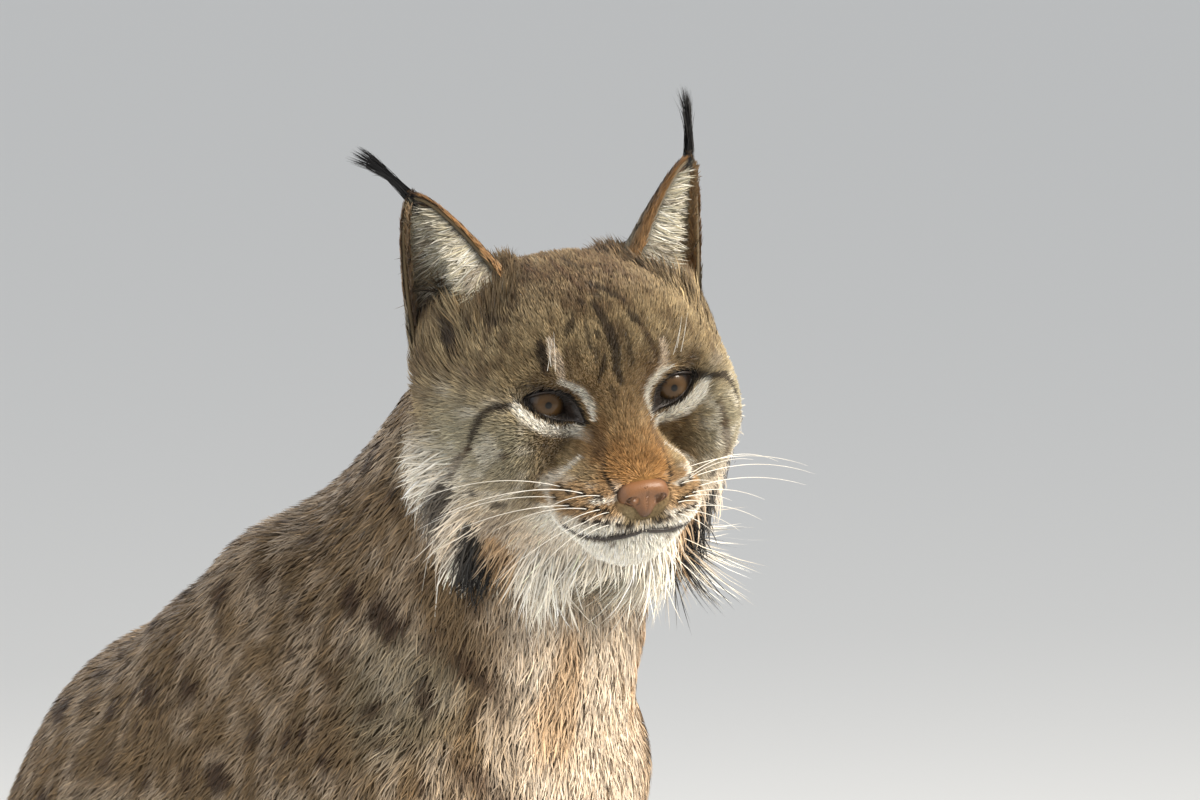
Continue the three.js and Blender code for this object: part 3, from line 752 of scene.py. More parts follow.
# and those of one side only
STROKES = (
    ("dark", 0.85, 3, ((590, 281), (605, 288), (625, 299))),
    ("dark", 0.75, 2.6, ((593, 292), (601, 296))),
    ("dark", 0.85, 4, ((593, 300), (600, 312), (607, 325), (613, 338), (617, 352), (618, 368), (622, 382))),
    ("dark", 0.85, 3.4, ((630, 312), (641, 323))),
    ("brown", 0.7, 2.6, ((641, 323), (650, 336), (657, 350), (661, 362))),
    ("brown", 0.75, 2.6, ((548, 255), (557, 265), (568, 275), (580, 288))),
    ("brown", 0.7, 2.4, ((512, 265), (530, 268), (545, 274))),
    ("brown", 0.7, 2.2, ((520, 254), (532, 262))),
    ("dark", 0.7, 3, ((562, 256), (572, 262), (583, 266))),
    ("dark", 0.7, 2.6, ((579, 300), (583, 302))),
    ("dark", 0.75, 3.2, ((573, 316), (570, 326), (567, 334))),
    ("dark", 0.7, 3, ((596, 330), (599, 335))),
    ("dark", 0.6, 2.2, ((590, 345), (597, 352), (597, 362))),
    ("dark", 0.75, 2.4, ((605, 356), (603, 368), (600, 382))),
    ("dark", 0.6, 2.2, ((585, 322), (588, 335), (590, 345))),
    ("dark", 0.6, 2.2, ((628, 335), (632, 350), (634, 366))),
    ("brown", 0.6, 2.4, ((570, 288), (570, 302))),
    ("dark", 0.85, 4.4, ((539, 342), (541, 356), (545, 370))),
    ("brown", 0.6, 3, ((545, 370), (552, 380))),
    ("brown", 0.6, 2, ((566, 345), (568, 362), (572, 378))),
    ("dark", 0.5, 2.2, ((612, 385), (616, 400))),
    ("dark", 0.55, 3, ((680, 352), (684, 362))),
    ("dark", 0.5, 3, ((664, 335), (672, 340))),
    ("cream", 0.8, 4, ((549, 340), (553, 352), (558, 365), (562, 380))),
    ("cream", 0.8, 3.6, ((663, 338), (667, 350), (666, 362), (660, 372))),
    ("white", 0.95, 3.4, ((560, 384), (570, 387), (579, 392), (586, 400), (590, 410), (592, 419))),
    ("white", 0.95, 3.2, (
        (674, 367), (665, 371), (657, 378), (651, 388), (650, 398), (653, 408), (656, 416),
    )),
    ("white", 1.0, 4.2, ((516, 405), (524, 412), (534, 421), (545, 427), (558, 431), (570, 433), (578, 429))),
    ("white", 1.0, 4.2, ((662, 421), (671, 414), (681, 407), (691, 400), (699, 391), (704, 382))),
    ("dark", 0.8, 3.4, ((697, 373), (704, 374), (713, 377))),
    ("brown", 0.6, 2.4, ((598, 262), (608, 270), (618, 280))),
    ("dark", 0.7, 3.4, ((484, 318), (492, 322), (500, 318))),
    ("dark", 0.8, 6, ((444, 318), (447, 332), (446, 345))),
    ("dark", 0.7, 7, ((412, 312), (424, 308), (434, 300))),
    ("brown", 0.6, 4, ((722, 400), (727, 430), (727, 460))),
    ("dark", 0.7, 7, ((728, 480), (733, 500), (733, 515))),
    ("dark", 0.75, 8, ((700, 570), (694, 585), (690, 595))),
)
# Roots of the whiskers, as picked on the same side
WHISKER_ROOTS = (
    (557, 486), (566, 490), (580, 493), (597, 496), (552, 497), (566, 506), (583, 509), (597, 510),
    (606, 513), (583, 523), (596, 524), (607, 526), (620, 526), (630, 527),
)


def seen_on_head(picked):
    """Places on the head's surface under picked places of the picture, to the nearest half millimetre."""
    right, up, back = view_axes()
    shift = (np.array(picked, float) - np.array(PICTURE) / 2) * (1, -1) * SENSOR / (LENS * PICTURE[0])
    rays = unit(shift[:, :1] * right + shift[:, 1:] * up - back)
    far = VIEW_FAR + np.arange(-140, 140, 0.5)
    q = to_head(lens_place() + far[None, :, None] * rays[:, None, :])
    out = HEAD(q.reshape(-1, 3)).reshape(len(rays), -1)
    reached = np.where((out < 0).any(axis=1), np.argmax(out < 0, axis=1), np.argmin(out, axis=1))
    return np.round(q[np.arange(len(q)), reached] * 2) / 2


def laid_strokes(strokes):
    return [(name, strength, width, seen_on_head(line)) for name, strength, width, line in strokes]


STROKES = laid_strokes(STROKES)
PAIRED_STROKES = [(*stroke, line * (-1, 1, 1)) for *stroke, line in laid_strokes(PAIRED_STROKES)]
WHISKER_ROOTS = seen_on_head(WHISKER_ROOTS) * (-1, 1, 1)


def head_colour(q):
    """The colours of the head's coat at places on the head."""
    m = mirrored(q)
    x, y, z = m[:, 0], q[:, 1], q[:, 2]
    front = smooth(14, -14, y)
    soft, fine = noise(q, 15, 5), noise(q * (1, 1, 0.5), 4.0, 6)
    rgb = np.tile(ink("crown"), (len(q), 1))
    rgb = mixed(rgb, ink("crown_pale"), 0.6 * smooth(-0.2, 0.7, fine + 0.5 * soft))
    rgb = mixed(rgb, ink("brown"), 0.5 * smooth(0.1, 0.6, -fine - 0.4 * soft) * smooth(-40, -10, z))
    rgb = mixed(rgb, ink("brown"), 0.55 * smooth(34, 58, z) + 0.2 * smooth(20, 60, y) * smooth(46, 30, z))
    cheek = smooth(34, 54, x) * smooth(22, -12, z) * smooth(60, 10, y)
    rgb = mixed(rgb, ink("cheek"), 0.8 * cheek)
    rgb = mixed(rgb, ink("white"), 0.35 * cheek * smooth(0.0, 0.6, noise(q * (1, 0.6, 1), 6, 9)))
    # the bridge of the nose and a warm patch beside it
    bridge = smooth(23, 11, x) * smooth(0, -20, z) * smooth(-44, -34, z) * front
    rgb = mixed(rgb, ink("ochre"), (0.62 + 0.25 * smooth(-14, -30, z)) * bridge)
    warm = smooth(46, 20, x) * smooth(34, 6, z) * smooth(-30, -6, z) * front
    rgb = mixed(rgb, ink("ochre") * 0.8, 0.3 * warm)
    beside = smooth(26, 14, x) * smooth(-12, -24, z) * smooth(-44, -30, z) * front
    rgb = mixed(rgb, ink("ochre"), 0.35 * beside)
    # whisker pads, lips, chin and throat
    pads = smooth(9, 15, x) * smooth(44, 32, x) * smooth(-27, -34, z) * front
    rgb = mixed(rgb, ink("tan"), 0.75 * pads)
    rgb = mixed(rgb, ink("white"), 0.75 * pads * smooth(0.1, 0.55, noise(q * (0.7, 0.7, 2.2), 7, 14)))
    rgb = mixed(rgb, ink("white"), 0.75 * pads * smooth(-44, -50, z))
    rgb = mixed(rgb, ink("white"), smooth(-50, -56, z) * smooth(50, 36, x) * smooth(20, -6, y))
    rgb = mixed(rgb, ink("cream"), 0.8 * smooth(-46, -70, z) * smooth(-20, 10, y))
    # the ruff pales towards its edge
    out = smooth(62, 84, x) * smooth(-12, -40, z)
    low = smooth(-66, -100, z)
    ruff = smooth(-20, -60, z) * smooth(34, 56, x)
    rgb = mixed(rgb, ink("cream"), 0.55 * ruff)
    rgb = mixed(rgb, ink("white"), 0.9 * np.maximum(out, low))
    rgb = mixed(rgb, ink("brown"), 0.45 * ruff * smooth(0.15, 0.5, noise(q * (1, 0.4, 0.35), 7, 17)))
    # strokes lie on the outline of the head's core, and stand out from it in the ruff
    close = settle(q, HEAD, 2)
    for strokes, places, nearer in ((PAIRED_STROKES, m, mirrored(close)), (STROKES, q, close)):
        for name, strength, width, line in strokes:
            flat, proud = brushed(nearer, line, width * 1.25, 0.3), brushed(places, line, width * 1.5, 0.35)
            rgb = mixed(rgb, ink(name), strength * np.maximum(flat, proud))
    m = mirrored(close)
    for root in WHISKER_ROOTS:
        far = np.linalg.norm((m - root) * (1, 0.6, 1.3), axis=1)
        rgb = mixed(rgb, ink("dark"), 0.95 * smooth(2.9, 1.6, far))
    rim = from_opening(mirrored(q))
    below = smooth(3, -4, z - 0.2 * (x - 31)) * smooth(15, 22, x)
    under = smooth(9.5, 6.5, rim) * smooth(2.0, 3.2, rim) * below
    over = smooth(7.5, 5.5, rim) * smooth(3.0, 4.2, rim) * smooth(31, 22, x) * smooth(-2, 6, z)
    rgb = mixed(rgb, ink("white"), 0.95 * np.maximum(under, over))
    rgb = mixed(rgb, ink("black"), 0.95 * smooth(1.6, 0.9, rim) * (rim < 50))
    # below the ear's opening
    for spot, radius in (((66, 30, 31), 6), ((58, 24, 40), 5), ((70, 36, 12), 5)):
        rgb = mixed(rgb, ink("dark"), 0.6 * smooth(1.3, 0.6, np.linalg.norm(m - spot, axis=1) / radius))
    return rgb


COLLAR = (
    ((74, 60, 590), (66, 24, 560), (50, -4, 530), (30, -16, 512)),
    ((78, 34, 520), (62, 8, 500), (44, -6, 486)),
    ((66, 12, 462), (50, 2, 448), (34, -4, 440)),
)


def body_colour(p, w):
    """The colours of the body's coat at each place."""
    soft, fine = noise(p, 30, 11), noise(p * (1, 1, 0.6), 8, 12)
    rgb = np.tile(ink("back"), (len(p), 1))
    rgb = mixed(rgb, ink("back_pale"), 0.6 * smooth(-0.3, 0.7, fine + 0.6 * soft))
    grey = smooth(0.0, 0.6, noise(p, 55, 19)) * smooth(180, 60, p[:, 1])
    rgb = mixed(rgb, ink("cheek"), 0.4 * grey)
    breast = smooth(86, 34, p[:, 1] + 0.8 * np.abs(p[:, 0] - 10)) * smooth(250, 330, p[:, 2])
    rgb = mixed(rgb, ink("cream"), 0.9 * breast)
    rgb = mixed(rgb, ink("tan"), 0.7 * breast * smooth(0.0, 0.5, noise(p * (1, 1, 0.5), 22, 13)))
    inner = smooth(62, 30, np.abs(p[:, 0])) * smooth(420, 300, p[:, 2]) * smooth(60, 120, p[:, 1])
    inner = np.maximum(inner, smooth(60, 20, p[:, 2]) * smooth(90, 60, np.abs(p[:, 0])) * (w[:, 1] > 0.5))
    rgb = mixed(rgb, ink("cream"), 0.85 * inner)
    legs = w[:, 2] + w[:, 4]
    rgb = mixed(rgb, ink("tan"), 0.5 * legs * smooth(240, 60, p[:, 2]))
    rgb = mixed(rgb, ink("cream"), 0.5 * legs * smooth(60, 20, p[:, 2]))
    # spots with ragged edges, drawn out along the body
    ragged = p + 4.0 * np.stack([noise(p, 7, 81 + k) for k in range(3)], axis=1)
    along = ragged @ np.array([[1, 0, 0], [0, 0.85, 0.3], [0, -0.3, 0.8]])
    spacing = bpy.context.scene.lynx_sizes.spot
    large, fewer = spots(along, spacing, 6.6, 31, 0.75), spots(along + 19, spacing * 0.75, 4.2, 47, 0.7)
    mark = np.maximum(large, 0.8 * fewer)
    outer = 1 - 0.8 * np.maximum(breast, inner)
    back = smooth(80, 200, p[:, 1]) * smooth(40, 0, np.abs(p[:, 0]))
    rgb = mixed(rgb, ink("brown") * 0.8, 0.95 * mark * outer * (1 - 0.5 * back) * (1 - legs))
    rgb = mixed(rgb, ink("brown"), 0.45 * back * smooth(0.0, 0.5, noise(p * (1.6, 0.5, 0.5), 16, 23)))
    small = spots(ragged, 17, 5.2, 61, 0.8) * legs * smooth(14, 50, p[:, 2])
    rgb = mixed(rgb, ink("dark"), 0.8 * small * (1 - 0.6 * inner))
    beside = np.abs(p - (4, 0, 0)) * (1, 0, 0) + p * (0, 1, 1)  # the breast's middle lies 4 mm to the left
    for line in COLLAR:
        rgb = mixed(rgb, ink("brown"), 0.75 * brushed(beside, line, 12, 0.6))
    return mixed(rgb, ink("black"), w[:, 5] * smooth(80, 96, p[:, 0]))


def coat_colour(p, w):
    """The colours of the coat at each place."""
    share = smooth(0.35, 0.65, w[:, 0])
    rgb = np.zeros_like(p)
    body, head = share < 1, share > 0
    if body.any():
        rgb[body] = body_colour(p[body], w[body])
    if head.any():
        there = head_colour(to_head(p[head]))
        rgb[head] = mixed(rgb[head], there, share[head])
    return rgb


# ---- lie and length of the coat

def along_part(p, name):
    """How far along its part's line each place is, the line's direction there and the place on the line."""
    line = np.array(PARTS[name][1], float)
    paired = name not in ("trunk", "tail")
    here = mirrored(p) if paired else p
    _, along = from_line(here, line)
    ends, length = shares_along(line)
    middles, tangents = (ends[1:] + ends[:-1]) / 2, unit(np.diff(line, axis=0))
    way = unit(np.stack([np.interp(along, middles, tangents[:, c]) for c in range(3)], axis=1))
    spot = np.stack([np.interp(along, ends, line[:, c]) for c in range(3)], axis=1)
    return here, along, way, spot, length


def head_lie(q):
    """Direction of the hairs on the head: back from the nose, up the forehead, down the ruff and chin."""
    m = mirrored(q)
    away = unit(m - (0, -MUZZLE_REACH + 2, -30))
    brow = smooth(0, 20, m[:, 2]) * smooth(30, -10, m[:, 1])
    away = unit(away + brow[:, None] * np.array([0.1, 0.3, 0.9]))
    cheek = smooth(30, 50, m[:, 0]) * smooth(20, -10, m[:, 2])
    away = unit(away + cheek[:, None] * np.array([0.3, 0.9, -0.5]))
    drop = smooth(-20, -85, m[:, 2])[:, None]
    ruff = np.array([0.42, 0.82, -0.38]) * (1 - drop) + np.array([0.05, 0.25, -0.97]) * drop
    ear = smooth(48, 26, np.linalg.norm(m - EAR_ROOT, axis=1))[:, None]
    away = unit(away + 2.4 * ear * unit(EAR_TIP - EAR_ROOT))
    share = (ruff_share(m) ** 0.5)[:, None]
    away = unit(away * (1 - share) + ruff * share)
    under = (smooth(-52, -66, m[:, 2]) * smooth(10, -20, m[:, 1]))[:, None]
    away = unit(away * (1 - under) + under * np.array([0.1, 0.35, -0.9]))
    lip = (smooth(-44, -52, m[:, 2]) * smooth(-58, -52, m[:, 2]) * smooth(-10, -24, m[:, 1]))[:, None]
    away = unit(away + lip * np.array([0.3, 0.1, -0.9]))
    return away * sided(q)


def ruff_share(m):
    sides = smooth(46, 60, m[:, 0]) * smooth(0, -30, m[:, 2]) * smooth(0, 26, m[:, 1])
    below = smooth(-60, -78, m[:, 2]) * smooth(-16, 12, m[:, 1]) * (0.35 + 0.65 * smooth(8, 26, m[:, 0]))
    return np.maximum(sides, below)


def coat_lie(p, w):
    """Direction in which the hairs lie, before it is laid on the skin."""
    flow = np.zeros_like(p)
    head = np.flatnonzero(w[:, 0] > 0.02)
    flow[head] = (head_lie(to_head(p[head])) @ HEAD_TURNED.T) * w[head, :1]
    side = sided(p)
    for k, name in enumerate(NAMES[1:], 1):
        there = np.flatnonzero(w[:, k] > 0.02)
        if len(there):
            way = along_part(p[there], name)[2]
            if name not in ("trunk", "tail"):
                way = way * side[there]
            flow[there] += way * w[there, k : k + 1]
    flow[:, 2] -= 0.3 * (1 - w[:, 0])
    wave = np.stack([noise(p, 22, 71 + k) for k in range(3)], axis=1)
    return unit(unit(flow) + 0.2 * wave * (1 - 0.6 * w[:, :1]))


def coat_length(p, w):
    length = w @ np.array([PARTS[name][3] for name in NAMES])
    q = to_head(p)
    m = mirrored(q)
    face = 3.4 + 2.2 * smooth(-30, 10, q[:, 1]) + 5.0 * smooth(0, 50, q[:, 1])
    face = face + 5.0 * smooth(40, 60, m[:, 0]) * smooth(-20, 30, q[:, 1])
    face = face + 5.0 * smooth(-58, -68, q[:, 2]) * smooth(6, -14, q[:, 1])
    face = face + 9.0 * smooth(46, 28, np.linalg.norm(m - EAR_ROOT, axis=1))
    length = length * (1 - w[:, 0]) + face * w[:, 0]
    breast = smooth(120, 20, p[:, 1]) * smooth(330, 470, p[:, 2]) * (1 - w[:, 0])
    feet = (w[:, 2] + w[:, 4]) * smooth(110, 50, p[:, 2])
    return (length + 8 * breast) * (1 - 0.4 * feet) * bpy.context.scene.lynx_sizes.length


# ---- tufts

# Side of a tuft's patch on the unwrap of the skin, and the lowest that a hair comes over the floor in mm
PATCH, LOWEST = 0.003, 0.5


def gathered(tips, cell, pull, rng):
    """Draws tips that end near each other together, as hairs stick in points."""
    boxes = np.floor(tips / cell + 0.35 * np.stack([noise(tips, cell * 2.2, k) for k in (1, 2, 3)], axis=1))
    key = boxes.astype(np.int64) @ np.array([1, 4096, 4096 * 4096])
    _, which = np.unique(key, return_inverse=True)
    count = np.bincount(which)
    mean = np.stack([np.bincount(which, tips[:, k]) / count for k in range(3)], axis=1)[which]
    share = (pull * rng.uniform(0.4, 1.0, len(tips)))[:, None]
    return tips * (1 - share) + mean * share


def pattern_of(pairs):
    """Triangles of a tuft: a point at the root, pairs of edges and a point at the tip."""
    faces = [(0, 2, 1)]
    for k in range(pairs - 1):
        a = 2 * k + 1
        faces += [(a, a + 1, a + 3), (a, a + 3, a + 2)]
    last = 2 * pairs - 1
    return np.array(faces + [(last, last + 1, last + 2)])


def tufts(name, start, bend, tip, normals, width, rgb, uv, rng, pairs=1, dark_root=0.5, tip_tone=1.0):
    """Thin tapered tufts as one mesh, curved from start by way of bend to tip."""
    count = len(start)
    steps = {1: (0.42,), 2: (0.3, 0.7), 3: (0.22, 0.5, 0.78)}[pairs]
    girth = {1: (1.0,), 2: (0.95, 0.8), 3: (0.9, 1.0, 0.7)}[pairs]
    chord = unit(tip - start)
    outward = laid_on(normals, chord)
    wide = np.cross(chord, outward)
    roll = rng.normal(0, 0.5, count)[:, None]
    wide = wide * np.cos(roll) + outward * np.sin(roll)
    tilt = rng.normal(0, 0.24, count)[:, None]
    shade_normal = unit(outward * np.cos(tilt) + np.cross(chord, outward) * np.sin(tilt))
    per = 2 * pairs + 2
    verts, tints = np.zeros((count, per, 3)), np.zeros((count, per, 3))
    patch = np.full((per, 2), 0.5)
    verts[:, 0], tints[:, 0], patch[0] = start, rgb * dark_root, (0.5, 0)
    verts[:, -1], tints[:, -1], patch[-1] = tip, rgb * np.asarray(tip_tone).reshape(-1, 1), (0.5, 1)
    for k, (s, g) in enumerate(zip(steps, girth)):
        middle = (1 - s) ** 2 * start + 2 * s * (1 - s) * bend + s**2 * tip
        half = wide * (width * g / 2)[:, None]
        verts[:, 2 * k + 1], verts[:, 2 * k + 2] = middle - half, middle + half
        tone = dark_root + (1 - dark_root) * min(1.0, s * 2.2)
        tints[:, 2 * k + 1] = tints[:, 2 * k + 2] = rgb * tone
        patch[2 * k + 1], patch[2 * k + 2] = (0, s), (1, s)
    verts[:, :, 2] = np.maximum(verts[:, :, 2], LOWEST)
    faces = (np.arange(count)[:, None, None] * per + pattern_of(pairs)[None]).reshape(-1, 3)
    mesh = bpy.data.meshes.new(name)
    mesh.vertices.add(count * per)
    mesh.vertices.foreach_set("co", to_row(verts.reshape(-1, 3)).ravel())
    mesh.loops.add(faces.size)
    mesh.loops.foreach_set("vertex_index", faces.ravel().astype(np.int32))
    mesh.polygons.add(len(faces))
    mesh.polygons.foreach_set("loop_start", np.arange(0, faces.size, 3, dtype=np.int32))
    mesh.update(calc_edges=True)
    set_colours(mesh, "Fur", np.clip(tints, 0, 1).reshape(-1, 3))
    places = (uv[:, None, :] + (patch[None] - 0.5) * PATCH).reshape(-1, 2)
    mesh.uv_layers.new(name="OFBake").data.foreach_set("uv", places[faces.ravel()].ravel())
    mesh.shade_smooth()
    mesh.normals_split_custom_set_from_vertices(np.repeat(shade_normal, per, axis=0).tolist())
    return mesh


def ticked(rgb, rng, spread=0.15):
    """Single hairs a little lighter, darker or warmer than their neighbours."""
    tone = np.exp(rng.normal(0, spread, len(rgb)))[:, None]
    warm = 1 + rng.normal(0, 0.03, (len(rgb), 1)) * (1.0, 0.2, -1.0)
    return np.clip(rgb * tone * warm, 0, 1)


def unwrapped(p, name):
    """Places on an unwrap of the skin: round and along the part's own line, each side in its own half."""
    if name == "head":
        d = unit(to_head(p) - (0, 20, -12))
        return (np.arctan2(d[:, 0], d[:, 2]) / (2 * np.pi)) % 1.0, np.arccos(np.clip(d[:, 1], -1, 1)) / np.pi
    here, along, way, spot, length = along_part(p, name)
    right = unit(np.cross(way, (0.9, 0.1, 0.05) if name == "tail" else (0.05, 1.0, 0.3)))
    off = here - spot
    u = (np.arctan2((off * np.cross(way, right)).sum(1), (off * right).sum(1)) / (2 * np.pi)) % 1.0
    if name not in ("trunk", "tail"):
        u = np.where(p[:, 0] > 0, u / 2, 0.5 + u / 2)
    return u, along + (off * way).sum(1) / length


def spread_uv(u, v):
    v = (v - v.min()) / max(v.max() - v.min(), 1e-6)
    return np.stack([0.01 + 0.98 * u, 0.01 + 0.98 * v], axis=1)


# ---- skin and coat

# Size of the blocks' voxels in mm, and what is kept of the skin for the coat to grow on
SKIN_VOXEL = 7.0
SKIN = {}


def relax(bm, factor):
    bmesh.ops.smooth_vert(bm, verts=bm.verts, factor=factor, use_axis_x=True, use_axis_y=True, use_axis_z=True)


def build_skin():
    """One skin over the whole animal: blocks remeshed to one surface and settled on to the skin's form."""
    bm = bmesh.new()
    for centre, axes in WHOLE.balls():
        matrix = Matrix([(*axes[k], centre[k]) for k in range(3)] + [(0, 0, 0, 1)])
        bmesh.ops.create_icosphere(bm, subdivisions=3, radius=0.97, matrix=matrix)
    blocks = bpy.data.objects.new("skin_blocks", mesh_from(bm, "skin_blocks"))
    bpy.context.scene.collection.objects.link(blocks)
    remesh = blocks.modifiers.new("remesh", "REMESH")
    remesh.mode = "VOXEL"
    remesh.voxel_size = SKIN_VOXEL
    skin = bpy.data.meshes.new_from_object(blocks.evaluated_get(bpy.context.evaluated_depsgraph_get()))
    bpy.data.objects.remove(blocks)
    set_coords(skin, settle(coords(skin), skin_field, 5))
    bm = bmesh.new()
    bm.from_mesh(skin)
    for _ in range(2):
        relax(bm, 0.5)
    for low in (lambda q: q[:, 2] > -80, lambda q: (q[:, 1] < 6) & (q[:, 2] > -84)):
        bm.verts.ensure_lookup_table()
        p = np.array([v.co for v in bm.verts])
        chosen = low(to_head(p)) & (shares(p)[:, 0] > 0.5)
        edges = [e for e in bm.edges if chosen[e.verts[0].index] and chosen[e.verts[1].index]]
        bmesh.ops.subdivide_edges(bm, edges=edges, cuts=1, use_grid_fill=True)
        bm.verts.index_update()
        bm.verts.ensure_lookup_table()
        for vert, co in zip(bm.verts, settle(np.array([v.co for v in bm.verts]), skin_field, 2)):
            vert.co = co
        relax(bm, 0.35)
    bm.to_mesh(skin)
    bm.free()
    p = settle(coords(skin), skin_field, 2)
    p[:, 2] = np.maximum(p[:, 2], 1.2)
    set_coords(skin, p)
    w = shares(p)
    normals = np.zeros(len(p) * 3)
    skin.vertices.foreach_get("normal", normals)
    skin.calc_loop_triangles()
    corners = np.zeros(len(skin.loop_triangles) * 3, dtype=np.int64)
    skin.loop_triangles.foreach_get("vertices", corners)
    tris = corners.reshape(-1, 3)
    SKIN.update(p=p, w=w, n=normals.reshape(-1, 3), depth=coat_depth(p, w), tris=tris)
    a, b, c = (p[tris[:, k]] for k in range(3))
    SKIN["area"] = np.linalg.norm(np.cross(b - a, c - a), axis=1) / 2
    SKIN["middle"] = p[tris].mean(axis=1)
    SKIN["part"] = np.argmax(w[tris].mean(axis=1), axis=1)
    set_colours(skin, "Fur", coat_colour(p, w) * 0.5)
    set_coords(skin, to_row(p))
    return skin


def skin_roots(density, rng):
    """Roots spread over the skin with that many to the square mm of each triangle."""
    share = bpy.context.scene.lynx_sizes.density * 1.0
    count = np.floor(SKIN["area"] * density * share + rng.random(len(density))).astype(int)
    pick = SKIN["tris"][np.repeat(np.arange(len(count)), count)]
    r1, r2 = np.sqrt(rng.random(len(pick))), rng.random(len(pick))
    bary = np.stack([1 - r1, r1 * (1 - r2), r1 * r2], axis=1)[:, :, None]
    p, n, w = ((SKIN[key][pick] * bary).sum(axis=1) for key in ("p", "n", "w"))
    return p, unit(n), w, (SKIN["depth"][pick] * bary[:, :, 0]).sum(axis=1)


def winter_fur():
    """Dense winter fur: matt, soft hair with a faint silk from the guard hairs."""
    material = bpy.data.materials.get("winter fur")
    if material:
        return material
    material = new_material("winter fur")
    tone = add_node(material, "ShaderNodeAttribute", {"attribute_name": "Fur", "attribute_type": "GEOMETRY"})
    silk = {"Roughness": 0.6, "Specular IOR Level": 0.22, "Sheen Weight": 0.1, "Sheen Roughness": 0.5}
    return finished(material, silk, {"Base Color": (tone, "Color")})


def underfur():
    """Underfur: short matted wool, darker than the coat over it, broken by fine tufting in tone and bump."""
    material = new_material("matted underfur")
    tone = add_node(material, "ShaderNodeAttribute", {"attribute_name": "Fur", "attribute_type": "GEOMETRY"})
    where = add_node(material, "ShaderNodeTexCoord")
    at = {"Vector": (where, "Object")}
    wool = add_node(material, "ShaderNodeTexNoise", None, {"Scale": 700.0, "Detail": 4.0}, at)
    limits = {"From Min": 0.3, "From Max": 0.7, "To Min": 0.6, "To Max": 1.3}
    scale = add_node(material, "ShaderNodeMapRange", None, limits, {"Value": (wool, "Fac")})
    toned = {0: (tone, "Color"), "Scale": (scale, "Result")}
    varied = add_node(material, "ShaderNodeVectorMath", {"operation": "SCALE"}, None, toned)
    depth = {"Strength": 0.6, "Distance": 0.0008}
    bump = add_node(material, "ShaderNodeBump", None, depth, {"Height": (wool, "Fac")})
    matt = {"Roughness": 0.85, "Specular IOR Level": 0.1}
    return finished(material, matt, {"Base Color": (varied, "Vector"), "Normal": (bump, "Normal")})


# Each region of the coat: the part whose unwrap it uses, tufts to the square mm, their width, the pairs of
# edges in each, the size of the points they gather in and how far they do
REGIONS = {
    "coat_face": ("head", 2.6, 0.4, 1, 1.6, 0.25),
    "coat_cheeks": ("head", 1.3, 0.5, 2, 3.0, 0.3),
    "coat_ruff": ("head", 1.5, 0.6, 3, 10.0, 0.4),
    "coat_breast": ("trunk", 0.41, 0.72, 2, 5.0, 0.3),
    "coat_side_left": ("trunk", 0.57, 0.74, 1, 4.5, 0.35),
    "coat_side_right": ("trunk", 0.57, 0.74, 1, 4.5, 0.35),
    "coat_forelegs": ("foreleg", 0.42, 0.85, 1, 4.5, 0.4),
    "coat_haunches": ("haunch", 0.5, 0.8, 1, 4.5, 0.35),
    "coat_hind_feet": ("hind_foot", 0.42, 0.8, 1, 4.0, 0.4),
    "coat_tail": ("tail", 0.4, 1.0, 2, 7.0, 0.4),
}


def region_mask(name):
    """Which triangles of the skin bear that region of the coat, as shares."""
    p, part = SKIN["middle"], SKIN["part"]
    on = part == NAMES.index(REGIONS[name][0])
    m = mirrored(to_head(p))
    if name in ("coat_face", "coat_cheeks"):
        front = smooth(-2, 10, m[:, 1] + 0.25 * np.maximum(m[:, 2], 0))
        return on * ((1 - front) if name == "coat_face" else front)
    if name == "coat_ruff":
        return on * ruff_share(m)
    if name == "coat_breast":
        return on * ((p[:, 1] < 118) & (p[:, 2] > 330))
    if name.startswith("coat_side"):
        side = p[:, 0] > 0 if name.endswith("left") else p[:, 0] <= 0
        return on * side * ((p[:, 1] >= 118) | (p[:, 2] <= 330))
    return on * 1.0


def ear_root_share(m):
    """1 where the ear stands on the head, so that its own coat grows there."""
    axis, face, across, _ = ear_frame()
    d = m - EAR_ROOT
    return (np.hypot(d @ across / 27, (d @ face - 3) / 15) < 0.85) & (d @ axis > -30)


